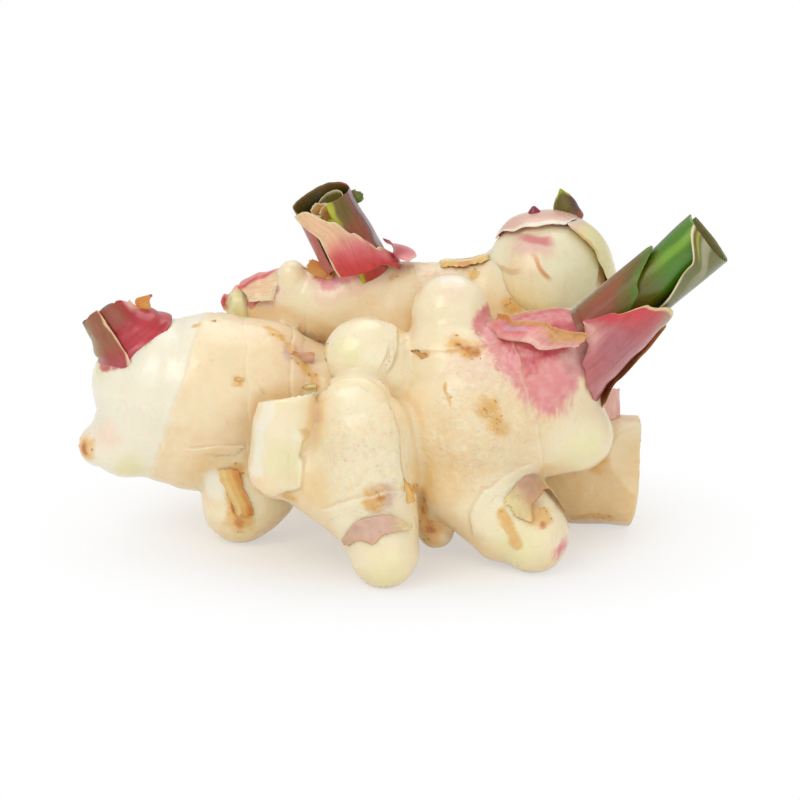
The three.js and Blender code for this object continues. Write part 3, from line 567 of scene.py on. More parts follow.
# the skin turns pink and red towards the foot of each shoot: how high and how far round its axis a point lies
shootRise, shootAngle, shootOut = roundAxis(stirred(rootPoints, 5, 1.5), rightShoot)
besideShoot = smooth((shootAngle + 115) / 20) * smooth((45 - shootAngle) / 40) * smooth((24 - shootOut) / 4)
paintMask["pink"] = np.maximum(paintMask["pink"], besideShoot * smooth((shootRise + 8) / 7))
paintMask["crimson"] = np.maximum(paintMask["crimson"], besideShoot * smooth((shootRise + 3) / 6)
        * smooth((-shootAngle - 5) / 35))
paintMask["mauve"] = np.maximum(paintMask["mauve"], 0.7 * besideShoot * smooth((shootRise - 4) / 6))
for axis, name, start, room in ((leftBud, "crimson", 6, 14), (rearShoot, "blush", 1, 14),
        (rearShoot, "pink", 5, 12)):
    rise, angle, out = roundAxis(loose, axis)
    paintMask[name] = np.maximum(paintMask[name], smooth((rise - start) / 3) * smooth((room - out) / 3))
# painted shade: downward-facing skin low on the part turns honey
under = smooth(0.25 - rootNormals[:, 2]) * smooth(1.1 - rootPoints[:, 2] / 45)
paintMask["honey"] = np.maximum(paintMask["honey"], 0.6 * under)
paintMask = {name: np.clip(mask, 0, 1) for name, mask in paintMask.items()}


cutFaces = {  # the middle of each cut face, the size of its core and how far the face reaches
    "stub's top": ((-27.6, -27.4, 45.6), 8, 9.5),
    "cut end": ((61.7, 4.6, 14.6), 14.6, 20),
    "pared side": ((57, -6.2, 21), 40, 15),
}


def onCut(name):
    # how near each point is to a knife's flat face, and how far across the cut core it lies
    middle, size, room = cutFaces[name]
    at, facing = (np.array(part, float) for part in knifeCuts[name][:2])
    facing /= np.linalg.norm(facing)
    flat = (1 - np.abs((rootPoints - at) @ facing) / 0.8) * (rootNormals @ facing > 0.8)
    away = rootPoints - np.array(middle, float)
    across = np.linalg.norm(away - (away @ facing)[:, None] * facing, axis=1)
    return np.clip(flat, 0, 1) * (np.linalg.norm(away, axis=1) < room), across / size


stubFlat, stubAcross = onCut("stub's top")
endFlat, endAcross = onCut("cut end")
paredFlat = onCut("pared side")[0]
cutFlat = np.maximum(stubFlat, endFlat)
cutAcross = np.where(endFlat > 0, endAcross, stubAcross)
paintMask["cream"] = np.maximum(paintMask["cream"], paredFlat)

relief += rootSizes["lumps"] * wobble(rootPoints, 11) + rootSizes["dimples"] * wobble(rootPoints, 3.4, 3)
relief += 0.05 * wobble(rootPoints, 1.7, 9) + 0.2 * paintMask["flaky"] * wobble(rootPoints, 1.8, 5)
relief -= 0.5 * smooth(1.5 * painted(rootPoints, [], [(1.0, crease)]))
relief += 0.2 * smooth(2 * paintMask["rust"] - 0.6) * wobble(rootPoints, 1.5, 12)
relief *= (1 - np.clip(cutFlat * 2, 0, 1)) * smooth((rootPoints[:, 2] - 0.7) / 2.5)
relief -= 0.7 * smooth(1.15 - stubAcross) * (stubFlat > 0.3)  # the stub's face has dried hollow
rootPoints = rootPoints + rootNormals * relief[:, None]

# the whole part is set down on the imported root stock's box
rootLow, rootHigh = (np.array(corner) * 1000 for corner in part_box("root_stock"))
shift = np.array([*(((rootLow + rootHigh) / 2 - (rootPoints.min(0) + rootPoints.max(0)) / 2)[:2]),
                  -rootSizes["footCut"]])
print("shift", shift)


def buildPiece(name, points, faces, finish, node, uv=None, attributes=None):
    mesh = bpy.data.meshes.new(name)
    mesh.from_pydata((points + shift) / 1000, [], [list(map(int, f)) for f in faces])
    for key, values in (attributes or {}).items():
        kind, part = ("FLOAT_COLOR", "color") if values.shape[1] == 4 else ("FLOAT_VECTOR", "vector")
        mesh.attributes.new(key, kind, "POINT").data.foreach_set(part, values.astype(np.float32).ravel())
    if uv is not None:
        corners = np.array([loop.vertex_index for loop in mesh.loops])
        mesh.uv_layers.new(name="leaf").data.foreach_set("uv", uv[corners].astype(np.float32).ravel())
    mesh.polygons.foreach_set("use_smooth", [True] * len(mesh.polygons))
    mesh.materials.append(finish)
    mesh.update()
    piece = bpy.data.objects.new(name, mesh)
    bpy.context.scene.collection.objects.link(piece)
    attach(piece, "root")
    if node:
        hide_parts(node)
    return piece


# skin colours; the crease colour and the colour just outside scale edges are painted shade, honey is also
# painted shade on undersides, and the edge colour is also the painted highlight along scale lips
rootLook = {
    "beige": rgb(248, 229, 193), "deepBeige": rgb(243, 218, 174), "ivory": rgb(246, 242, 224),
    "cream": rgb(249, 238, 206), "lime": rgb(238, 235, 184), "honey": rgb(235, 200, 130),
    "blush": rgb(246, 214, 194), "pink": rgb(226, 132, 142), "mauve": rgb(196, 152, 146),
    "crimson": rgb(200, 62, 80), "gold": rgb(232, 182, 92), "rust": rgb(212, 130, 46),
    "darkRust": rgb(146, 84, 34), "creaseShade": rgb(236, 194, 122), "edge": rgb(254, 246, 222),
    "edgeShadow": rgb(222, 184, 124), "cutFace": rgb(240, 220, 164), "core": rgb(226, 194, 120),
    "roughness": 0.32, "subsurface": 0.5, "subsurfaceDepth": 0.004, "coat": 0.5,
}


def rootFinish():
    f, look = Finish("rootSkin"), rootLook
    spot = f.place()
    ivory, cream, lime = f.split("zonesA")
    honey, blush, crimson = f.split("zonesB")
    rust, gold, flaky = f.split("marks")
    cutFlat, across, mauve = f.split("cuts")
    past, edge, creaseShade = f.split("edges")
    pink = f.split("shootZone")[0]
    broad, middling, fine = f.noise(spot, 70), f.noise(spot, 280, 4), f.noise(spot, 1000, 3)
    streaks = f.noise(f.place((1, 1, 0.3)), 900, 3)
    jitter = (middling - 0.5) * 0.5 + (fine - 0.5) * 0.35

    def shown(mask, low, high):  # a painted mask with an uneven edge
        return (mask + jitter * 0.5).band(low, high)

    colour = f.mix(broad.band(0.35, 0.65), look["beige"], look["deepBeige"])
    # the honey zone is mostly painted shade on undersides, low parts and in the crease
    for zone, mask, low, high, strength in (
            ("cream", cream, 0.1, 0.7, 0.85), ("honey", honey, 0.05, 0.9, 0.65),
            ("ivory", ivory, 0.15, 0.6, 0.9), ("lime", lime, 0.05, 0.9, 0.8),
            ("blush", blush, 0.05, 0.8, 0.65)):
        colour = f.mix(shown(mask, low, high) * strength, colour, look[zone])
    colour = f.mix((pink + jitter * 0.8 + (streaks - 0.5) * 0.9).band(0.15, 0.8) * 0.9, colour,
                   look["pink"])
    colour = f.mix((mauve + jitter * 0.6).band(0.15, 0.75) * 0.65, colour, look["mauve"])
    colour = f.mix((crimson + jitter * 0.5 + (streaks - 0.5) * 0.7).band(0.15, 0.65) * 0.9, colour,
                   look["crimson"])
    # painted shade: the creases between lobes turn a warmer, deeper honey
    colour = f.mix(creaseShade.band(0.25, 0.8) * 0.4, colour, look["creaseShade"])
    granules = f.noise(spot, 700, 5, 0.2)
    loosely = (flaky + jitter * 0.6).band(0.1, 0.6)
    colour = f.mix(granules.band(0.54, 0.66) * loosely * 0.3, colour, look["edge"])
    colour = f.mix((1 - granules).band(0.5, 0.7) * loosely * 0.25, colour, look["honey"])
    face = f.mix((across - 0.62 + (middling - 0.5) * 0.08).band(-0.03, 0.03), look["core"], look["cutFace"])
    rings = f.add("ShaderNodeMath", {"operation": "SINE"}, [across * 60 + middling * 4]) * 0.5 + 0.5
    face = f.mix(rings * 0.25, face, look["ivory"])
    face = f.mix((across + jitter * 0.1).band(0.84, 0.97), face, look["edge"])
    colour = f.mix(cutFlat.band(0.2, 0.6) * 0.85, colour, face)
    colour = f.mix((gold + jitter * 0.9).band(0.12, 0.7) * 0.85, colour, look["gold"])
    colour = f.mix((rust + jitter * 0.6).band(0.3, 0.65) * 0.85, colour, look["rust"])
    colour = f.mix((rust + jitter * 1.2).band(0.62, 0.95) * 0.75, colour, look["darkRust"])
    edgeShadow = (past + 1.1).band(0, 0.6) * (0 - past).band(-0.1, 0.25)  # painted shadow just outside a scale's edge
    # painted highlight along the lip just inside a scale's edge
    lip = past.band(-0.1, 0.15) * (0.95 - past).band(0, 0.7)
    colour = f.mix(edgeShadow * edge * 0.6, colour, look["edgeShadow"])
    colour = f.mix(lip * edge * 0.8, colour, look["edge"])
    specks = f.noise(spot, 1500, 2).band(0.7, 0.76)
    colour = f.mix(specks * 0.4, colour, look["gold"])
    mottle = f.noise(spot, 480, 5).band(0.35, 0.7)
    colour = f.mix(mottle * 0.16, colour, look["edge"])
    roughness = look["roughness"] + (middling - 0.5) * 0.3 + flaky * 0.14 + gold.band(0.3, 0.7) * 0.2
    height = middling * 0.5 + fine * 0.3 + granules * loosely * 2.2 + gold.band(0.3, 0.8) * granules * 1.2
    height = height + past.band(-0.25, 0.25) * edge * 1.2
    shader = f.add("ShaderNodeBsdfPrincipled", {}, {
        "Base Color": colour, "Roughness": roughness.clipped(), "Subsurface Weight": look["subsurface"],
        "Subsurface Radius": (1.0, 0.62, 0.36), "Subsurface Scale": look["subsurfaceDepth"],
        "Coat Weight": look["coat"], "Coat Roughness": 0.15, "Normal": f.bump(height, 0.0004, 0.8)})
    return f.surface(shader)


def inThrees(*masks):
    return np.stack(masks, 1)


buildPiece("root_stock_skin", rootPoints, rootFaces, rootFinish(), "root_stock", attributes={
    "zonesA": inThrees(*(paintMask[k] for k in ("ivory", "cream", "lime"))),
    "zonesB": inThrees(*(paintMask[k] for k in ("honey", "blush", "crimson"))),
    "shootZone": paintMask["pink"][:, None].repeat(3, 1),
    "marks": inThrees(*(paintMask[k] for k in ("rust", "gold", "flaky"))),
    "cuts": inThrees(cutFlat, cutAcross, paintMask["mauve"]),
    "edges": inThrees(edgeAcross, edgeStrength, creaseShade),
})
print("root stock painted")


# scale leaves and sheaths
def curve(value):  # a number, or (place, value) pairs to run smoothly through
    return profile(*value) if isinstance(value, list) else profile((0, value), (1, value))


def tube(*pairs):  # how a leaf's height and radius follow from its place along the axis and its angle
    radius = profile(*pairs)
    return lambda t, angle: (t, radius(t))


def dome(centre, size):  # on a ball, t is degrees of latitude; its middle goes with it
    return lambda t, angle: (centre + size * np.sin(np.radians(t)), size * np.cos(np.radians(t))), centre


def over(x, low, high):
    return smooth((x - low) / (high - low))


def near(x, middle, width):
    return smooth(1.5 - 1.5 * np.abs(x - middle) / width)


leafFinishes = {  # roughness, coat, vein depth, vein count, vein strength, subsurface, blotches
    "greenSheath": (0.3, 0.5, 0.12, 70, 0.4, 0.1, 0.12),
    "greySheath": (0.34, 0.4, 0.14, 80, 0.6, 0.1, 0.2),
    "brownSheath": (0.4, 0.3, 0.16, 60, 0.6, 0.1, 0.3),
    "pinkBract": (0.36, 0.35, 0.16, 34, 0.5, 0.2, 0.3),
    "crimsonScale": (0.34, 0.4, 0.12, 26, 0.4, 0.15, 0.25),
    "creamScale": (0.32, 0.45, 0.06, 12, 0.1, 0.45, 0.12),
    "oliveScale": (0.42, 0.3, 0.14, 34, 0.5, 0.1, 0.3),
    "dryScale": (0.46, 0.2, 0.2, 10, 0.3, 0.3, 0.3),
}


def leafFinish(name):
    rough, coat, depth, veinCount, strength, subsurface, blotches = leafFinishes[name]
    f = Finish(name)
    tint = f.add("ShaderNodeAttribute", {"attribute_name": "tint"})
    onLeaf = f.add("ShaderNodeUVMap", {"uv_map": "leaf"})
    lengthwise = f.add("ShaderNodeVectorMath", {"operation": "MULTIPLY"}, [onLeaf, (veinCount, 2.2, 1)])
    veins = f.noise(lengthwise, 1.0, 2, 0.15)
    fineLines = f.add("ShaderNodeVectorMath", {"operation": "MULTIPLY"}, [onLeaf, (veinCount * 3.5, 5, 1)])
    fibres = f.noise(fineLines, 1.0, 1)
    patches = f.noise(f.place(), 380, 4)
    specks = f.noise(f.place(), 1700, 2)
    colour = tint
    for pattern, low, high, weight, cast in (
            (veins, 0.46, 0.66, 0.6 * strength, (0.62, 0.5, 0.48)),
            (fibres, 0.52, 0.75, 0.5 * strength, (1.5, 1.4, 1.2)),
            (patches, 0.48, 0.7, blotches, (0.78, 0.66, 0.56)),
            (None, 0.5, 0.75, blotches, (1.25, 1.2, 1.1))):
        pattern = pattern or 1 - patches
        colour = f.mix(pattern.band(low, high) * weight, colour, f.mix(1.0, colour, cast, "MULTIPLY"))
    colour = f.mix(specks.band(0.68, 0.74) * 0.3, colour, rgb(150, 100, 56))
    roughness = rough + (patches - 0.5) * 0.3 + (fibres - 0.5) * 0.1
    height = veins * 0.6 + fibres * 0.2 + patches * 0.5
    papery = {}
    if name == "dryScale":  # torn scales thin out to nothing along their frayed rims
        rim = f.add("ShaderNodeAttribute", {"attribute_name": "rim"}, out=2)
        papery["Alpha"] = (rim + (patches - 0.5) * 0.9 + (specks - 0.5) * 0.5).band(0.12, 0.5)
    return f.surface(f.add("ShaderNodeBsdfPrincipled", {}, {
        "Base Color": colour, "Roughness": roughness.clipped(), "Subsurface Weight": subsurface,
        "Subsurface Radius": (1.0, 0.5, 0.3), "Subsurface Scale": 0.0015, "Coat Weight": coat,
        "Coat Roughness": 0.2, "Normal": f.bump(height, depth / 1000, 0.8), **papery}))


finishes = {name: leafFinish(name) for name in leafFinishes}


def buildLeaf(name, finish, axis, section, sides, reach, colour, paint=(), inside=None, thick=0.7,
              wave=0.25, ragged=0.5, curl=0.0, sink=1.8, across=64, along=44, node=True):
    # paint goes by place on the leaf, u across it and v from its foot to its margin
    number = len(bpy.data.objects)  # sets this leaf's own unevenness
    steps = [np.linspace(0, 1, count + 1) for count in (across, along)]
    u, v = (grid.ravel() for grid in np.meshgrid(*steps))
    spot = np.stack([u * 3, v * 2, 0 * u + 4.7 * number], 1)
    first, last = (curve(side)(v) for side in sides)
    low, high = (curve(end)(u) for end in reach)
    tatter = wobble(spot * (2.2, 0, 1), 1) + 0.45 * wobble(spot * (8, 0, 1), 1)
    sideTatter = wobble(spot * (0, 3, 1), 1) + 0.45 * wobble(spot * (0, 11, 1), 1)
    t = low + (high - low) * v + ragged * tatter * over(v, 0.6, 1)
    angle = first + (last - first) * u + 4 * ragged * sideTatter * (over(u, 0.75, 1) - over(1 - u, 0.75, 1))
    section, ballHeight = section if isinstance(section, tuple) else (section, None)
    rise, out = section(t, angle)
    start, upward, front, side = axis
    turn = np.radians(angle)
    spread = np.cos(turn)[:, None] * front + np.sin(turn)[:, None] * side
    if ballHeight is None:  # a leaf that stands a little off the skin lies down on it
        foot = start + rise[:, None] * upward
        skin = np.einsum("ij,ij->i", outToSkin(foot, spread) - foot, spread)
        out = np.minimum(out, out + (skin + 0.5 - out) * smooth(1 - (out - skin) / 3))
    out = out + wave * wobble(spot, 0.8) + curl * over(v, 0.75,
            1) ** 2 - sink * (1 - np.clip(v / 0.22, 0, 1)) ** 2
    margin = np.minimum(np.minimum(u, 1 - u) * 9, (1 - v) * 7)
    outer = start + rise[:, None] * upward + out[:, None] * spread
    thickness = thick * (0.25 + 0.75 * smooth(margin))
    if ballHeight is not None:  # a dome's inner sheet lies nearer its middle
        towards = outer - start - ballHeight * upward
        inner = outer - thickness[:, None] * towards / np.linalg.norm(towards, axis=1, keepdims=True)
    else:
        inner = outer - thickness[:, None] * spread
    points = np.concatenate([outer, inner])
    row, back = across + 1, len(u)
    at = lambda i, j: j * row + i
    faces = []
    for j in range(along):
        for i in range(across):
            quad = [at(i, j), at(i + 1, j), at(i + 1, j + 1), at(i, j + 1)]
            faces += [quad, [k + back for k in reversed(quad)]]
    rim = [(at(i, 0), at(i + 1, 0)) for i in range(across)] + [(at(i + 1, along), at(i, along))
            for i in range(across)]
    rim += [(at(0, j + 1), at(0, j)) for j in range(along)] + [(at(across, j), at(across, j + 1))
            for j in range(along)]
    faces += [[b, a, a + back, b + back] for a, b in rim]
    drift = wobble(spot, 0.35)
    pu, pv = u + 0.03 * drift, v + 0.04 * wobble(spot + 9, 0.4)
    shade = np.tile(tone[colour], (len(u), 1))
    for tint, weight in paint:
        shade = shade + (np.array(tone[tint]) - shade) * np.clip(weight(pu, pv), 0, 1)[:, None]
    innerShade = shade if inside is None else np.tile(tone[inside], (len(u), 1)) * (1 + 0.15 * drift)[:,
            None]
    innerShade = innerShade + (shade - innerShade) * (1 - smooth(margin * 2))[:, None]
    tints = np.concatenate([shade, innerShade])
    tints = np.concatenate([tints, np.ones((len(tints), 1))], 1)
    uv = np.tile(np.stack([u, v], 1), (2, 1))
    rims = np.tile(np.minimum(margin, v * 7), 2)[:, None].repeat(3, 1)
    return buildPiece(name + "_leaf", points, faces, finishes[finish], name if node else None,
                      uv,
                      {"tint": tints, "rim": rims} if finish == "dryScale" else {"tint": tints})


def buildRod(name, finish, axis, pairs, colour, tip, sidesCount=28):
    # a solid heart: rings of points round an axis, from (height, radius) pairs, with closed ends
    start, upward, front, side = axis
    heights = np.interp(np.linspace(0, len(pairs) - 1, 6 * len(pairs)), range(len(pairs)),
            [h for h, r in pairs])
    radii = np.interp(np.linspace(0, len(pairs) - 1, 6 * len(pairs)), range(len(pairs)),
                      [r for h, r in pairs])
    keep = radii > 0.01
    heights, radii = heights[keep], radii[keep]
    turn = np.linspace(0, 2 * np.pi, sidesCount, endpoint=False)
    ring = np.cos(turn)[:, None] * front + np.sin(turn)[:, None] * side
    points = np.concatenate([start + h * upward + r * ring for h, r in zip(heights, radii)])
    points = np.concatenate([points, [start + heights[0] * upward, start + heights[-1] * upward]])
    n, last = sidesCount, len(heights) - 1
    faces = [[j * n + i, j * n + (i + 1) % n, (j + 1) * n + (i + 1) % n, (j + 1) * n + i]
             for j in range(last) for i in range(n)]
    faces += [[(i + 1) % n, i, len(points) - 2] for i in range(n)]
    faces += [[last * n + i, last * n + (i + 1) % n, len(points) - 1] for i in range(n)]
    along = over((points - start) @ upward, heights[0], heights[-1])
    base = np.array(tone[colour])
    tints = base + (tone[tip] - base) * over(along, 0.5, 1)[:, None]
    tints = np.concatenate([tints, np.ones((len(tints), 1))], 1)
    away = points - start
    uv = np.stack([np.arctan2(away @ side, away @ front) / 6.3 + 0.5, along], 1)
    return buildPiece(name + "_rod", points, faces, finishes[finish], name, uv,
                      {"tint": tints})


tone = {
    "brightGreen": rgb(74, 128, 12), "freshGreen": rgb(122, 172, 34), "deepGreen": rgb(40, 70, 8),
    "yellowGreen": rgb(176, 186, 40), "greyGreen": rgb(112, 118, 66), "paleGrey": rgb(176, 176, 142),
    "olive": rgb(104, 96, 24), "darkOlive": rgb(74, 66, 14), "baseBrown": rgb(134, 98, 48),
    "redBrown": rgb(154, 78, 52), "pink": rgb(192, 108, 112), "rosePink": rgb(226, 128, 134),
    "palePink": rgb(238, 194, 182), "red": rgb(210, 52, 66), "crimson": rgb(184, 46, 60),
    "mauve": rgb(178, 108, 118), "lavender": rgb(206, 180, 192), "cream": rgb(244, 228, 190),
    "yellowCream": rgb(236, 214, 158), "ivory": rgb(248, 240, 216), "peach": rgb(242, 206, 168),
    "tan": rgb(214, 164, 98), "rust": rgb(212, 138, 52), "darkBrown": rgb(108, 62, 26),
    "darkPurple": rgb(92, 40, 52), "greyMauve": rgb(164, 148, 158),
    "oliveTan": rgb(160, 134, 84), "softYellow": rgb(244, 228, 170), "footMauve": rgb(214, 176, 152),
    "honey": rgb(234, 192, 112), "deepPink": rgb(214, 108, 114), "budCream": rgb(252, 238, 204),
    "limeCream": rgb(232, 226, 176), "rosyTan": rgb(226, 178, 160), "plum": rgb(142, 28, 62),
}

buildRod("right_shoot_heart", "greenSheath", rightShoot,
    [(8, 4.2), (30, 4.2), (46, 3.7), (48, 2.2), (48.4, 0)], "deepGreen", "olive")
buildLeaf("right_shoot_inner_sheath", "greenSheath", rightShoot, tube((10, 5.5), (38, 5.8), (52, 6.6)),
    (-178, 122), (10, [(0, 50), (0.3, 54), (0.5, 53.4), (0.7, 48), (1, 42)]), "brightGreen",
    [("deepGreen", lambda u, v: 0.8 * over(0.36 - u, 0, 0.1)),
    ("freshGreen", lambda u, v: 0.85 * near(u, 0.47, 0.07)),
    ("olive", lambda u, v: 0.85 * over(1 - v, 0.22, 0.4)),
    ("baseBrown", lambda u, v: 0.9 * over(1 - v, 0.4, 0.6))], inside="olive", ragged=0.15, wave=0.1,
    sink=1.2)
buildLeaf("right_shoot_side_sheath", "brownSheath", rightShoot, tube((8, 7.1), (40, 7.1)), (-165, 30),
    (8, [(0, 26), (0.45, 42), (0.75, 33), (1, 22)]), "baseBrown",
    [("redBrown", lambda u, v: 0.9 * near(u, 0.62, 0.2) * over(0.9 - v, 0, 0.3)),
    ("olive", lambda u, v: 0.8 * over(v, 0.6, 0.85)),
    ("brightGreen", lambda u, v: 0.75 * over(v, 0.84, 0.98)),
    ("greyMauve", lambda u, v: 0.8 * near(u, 0.33, 0.1) * over(0.85 - v, 0, 0.3))], ragged=0.4, wave=0.15,
    sink=1.2, thick=0.5)
buildLeaf("right_shoot_outer_sheath", "greySheath", rightShoot, tube((10, 8.4), (50, 8.2)),
    ([(0, 45), (0.55, 35), (0.84, 8), (1, -45)], 205),
    (10, [(0, 53.8), (0.35, 53.2), (0.6, 53.4), (1, 53.6)]), "greyGreen",
    [("redBrown", lambda u, v: 0.6 * over(0.6 - v, 0, 0.2) * over(0.5 - u, 0, 0.3)),
    ("freshGreen", lambda u, v: 0.3 * near(u, 0.42, 0.07) * over(v, 0.5, 0.8)),
    # the pale grey streak is a painted highlight
    ("paleGrey", lambda u, v: 0.7 * near(u, 0.16, 0.06) * over(v, 0.6, 0.9)),
    # the dark olive patch at the top beside the margin is painted shade
    ("olive", lambda u, v: 0.8 * over(0.09 - u, 0, 0.05) * over(v, 0.8, 0.9)),
    ("yellowGreen", lambda u, v: 0.8 * near(u, 0.07, 0.02) * over(v, 0.86, 0.94)),
    ("cream", lambda u, v: 0.85 * over(0.018 - u, 0, 0.012))], inside="olive", ragged=0.15, wave=0.12,
    across=110, along=80, thick=0.6)
buildLeaf("right_shoot_bract", "pinkBract", rightShoot,
    tube((3, 16.4), (13, 12.8), (22, 11.8), (31, 10.7), (36, 9.7)), (-30, 165),
    ([(0, 18), (0.12, 15.8), (0.22, 10.9), (0.37, 7.5), (0.57, 3.8), (1, 9)],
    [(0, 19.4), (0.09, 25.7), (0.2, 33.1), (0.36, 35.9), (0.62, 33.5), (0.8, 28), (1, 21)]), "pink",
    [("mauve", lambda u, v: 0.7 * near(v, 0.45, 0.3) * near(u, 0.3, 0.2)),
    ("palePink", lambda u, v: 0.6 * over(0.2 - u, 0, 0.1) * over(0.6 - v, 0, 0.4)),
    ("red", lambda u, v: 0.85 * over(0.5 - u, 0, 0.35) * over(v, 0.5, 0.85)),
    ("oliveTan", lambda u, v: 0.75 * over(u, 0.25, 0.5) * over(v, 0.72, 0.92)),
    ("redBrown", lambda u, v: 0.6 * over(u, 0.4, 0.55) * over(0.2 - v, 0, 0.2)),
    ("yellowCream", lambda u, v: 0.9 * over(v, 0.965, 0.985))], inside="rosyTan", wave=0.35, ragged=0.35,
    curl=0.2, sink=1.0, across=150, along=70)
buildLeaf("right_shoot_back_scale", "brownSheath", rightShoot,
    tube((3, 17.8), (13, 14.1), (22, 13.2), (31, 12.2)), (78, 160),
    (2.5, [(0, 20), (0.25, 31), (0.6, 24), (1, 14)]), "rosyTan",
    [("darkBrown", lambda u, v: 0.8 * over(0.2 - u, 0, 0.12)),
    ("redBrown", lambda u, v: 0.6 * over(0.5 - v, 0, 0.3)), ("tan", lambda u, v: 0.8 * over(v, 0.9, 1))],
    inside="tan", thick=0.5, ragged=0.8, wave=0.2)
buildLeaf("right_shoot_torn_flap", "pinkBract", rightShoot,
    tube((-3, 18.9), (5, 17.9), (12, 15.6), (18, 13.4)), (-92, -12),
    ([(0, -3), (0.3, -0.8), (0.72, 5.9), (1, 13)], [(0, 1.6), (0.3, 4.8), (0.6, 12.1), (1, 17.8)]),
    "rosePink", [("lavender", lambda u, v: 0.6 * near(u, 0.4, 0.16) * near(v, 0.55, 0.2)),
    ("rosyTan", lambda u, v: 0.8 * over(0.2 - u, 0, 0.14)),
    ("crimson", lambda u, v: 0.45 * over(u, 0.5, 0.8) * over(0.6 - v, 0, 0.3)),
    ("palePink", lambda u, v: 0.5 * over(0.35 - v, 0, 0.3) + 0.5 * over(u, 0.5, 0.6)),
    ("tan", lambda u, v: 0.9 * over(v + 0.4 * over(u, 0.6, 0.8), 0.66, 0.9)),
    ("rust", lambda u, v: 0.7 * near(u, 0.2, 0.12) * over(v, 0.74, 0.88))], inside="yellowCream", sink=0.8,
    ragged=0.6, wave=0.4, curl=0.9, thick=0.8, across=100, along=50)

buildRod("rear_shoot_heart", "oliveScale", rearShoot, [(6, 3.4), (20, 3.2), (22, 1.8), (22.4, 0)], "olive",
    "yellowGreen")
buildLeaf("rear_shoot_inner_leaf", "oliveScale", rearShoot, tube((8, 5.6), (27, 5.3)), (20, 250),
    (8, [(0, 26), (0.5, 28), (1, 25)]), "olive", [("redBrown", lambda u, v: 0.6 * over(0.6 - v, 0, 0.3)),
    ("cream", lambda u, v: 0.7 * over(v, 0.94, 0.99))], inside="olive", ragged=0.4)
for name, radius, first, last, high in (("pale_curl", 3.9, 150, 330, 27), ("small_curl", 2.4, 90, 260, 26)):
    buildLeaf("rear_shoot_" + name, "creamScale", rearShoot, tube((16, radius), (27, radius)),
        (first, last), (16, [(0, high - 2), (0.5, high), (1, high - 1)]), "oliveTan",
        [("cream", lambda u, v: 0.95 * over(v, 0.8, 0.93)), ("rust", lambda u, v: 0.5 * near(u, 0.7, 0.2))],
        inside="tan", thick=0.6, ragged=0.5, across=30, along=20, node=False)
rearSpread = profile((0, 0), (70, 1), (130, 1), (200, 0))  # how much it flares on each side
rearFlare = profile((2, 2.2), (14, 1), (24, 0))
rearRadius = profile((3, 9.4), (12, 9))
buildLeaf("rear_shoot_outer_sheath", "brownSheath", rearShoot,
    lambda t, angle: (t, 7.8 + rearFlare(t) * rearSpread(angle)), (8, 322),
    ([(0, 5), (0.7, 5), (1, 11)], [(0, 30), (0.3, 28.5), (0.6, 29), (0.85, 29.5), (1, 28)]), "redBrown",
    [("olive", lambda u, v: 0.9 * near(u, 0.09, 0.1) * over(v, 0.55, 0.85)),
    ("crimson", lambda u, v: 0.7 * over(0.45 - v, 0, 0.25)),
    ("greyMauve", lambda u, v: 0.95 * near(u, 0.24, 0.07)),
    ("darkPurple", lambda u, v: 0.7 * near(u, 0.19, 0.02)),
    ("pink", lambda u, v: 0.75 * over(u, 0.78, 0.86)),
    ("olive", lambda u, v: 0.9 * over(v, 0.93, 0.99) * over(u, 0.3, 0.5)),
    ("yellowGreen", lambda u, v: 0.95 * over(0.045 - u, 0, 0.02))], inside="darkOlive", across=96,
    ragged=0.3, wave=0.2, sink=0.8)
buildLeaf("rear_shoot_pink_scale", "pinkBract", rearShoot,
    lambda t, angle: (t, rearRadius(t) + rearFlare(t) * rearSpread(angle)),
    ([(0, -28), (0.6, -27), (1, -60)], 92), ([(0, 9.5), (0.6, 8), (1, 2)],
    [(0, 29.3), (0.2, 30.6), (0.44, 25.5), (0.58, 20), (0.76, 12.5), (1, 6.5)]), "rosePink",
    [("red", lambda u, v: 0.85 * over(0.5 - v, -0.1, 0.4)),
    ("peach", lambda u, v: 0.95 * over(v + 0.5 * (0.45 - u), 0.45, 0.8)),
    ("crimson", lambda u, v: 0.7 * over(u, 0.7, 0.9)),
    ("cream", lambda u, v: 0.9 * over(v, 0.955, 0.985) + 0.9 * over(0.035 - u, 0, 0.02))], inside="peach",
    ragged=0.2, wave=0.2, sink=0.8, across=90, along=60)
buildLeaf("rear_shoot_skirt", "crimsonScale", rearShoot, tube((2.6, 16.3), (8, 11.6)), (72, 128),
    ([(0, 4.6), (0.5, 2.6), (1, 5)], 8.4), "rosePink", [("crimson", lambda u, v: 0.9 * over(v, 0.25, 0.6)),
    ("palePink", lambda u, v: 0.8 * over(0.25 - v, 0, 0.2))], inside="pink", thick=0.5, ragged=0.3,
    wave=0.15, sink=0.3)
buildLeaf("rear_shoot_scrap", "greenSheath", axisFrom((-13.6, 13.8, 85.6), (-9.4, 13, 88.6)),
    tube((0, 1.6), (3, 2.1), (5, 1.2)), (-70, 100), (0, [(0, 4), (0.5, 5.2), (1, 3.8)]), "olive",
    [("brightGreen", lambda u, v: 0.7 * near(u, 0.5, 0.2))], thick=0.5, sink=0, ragged=0.4, across=24,
    along=20)

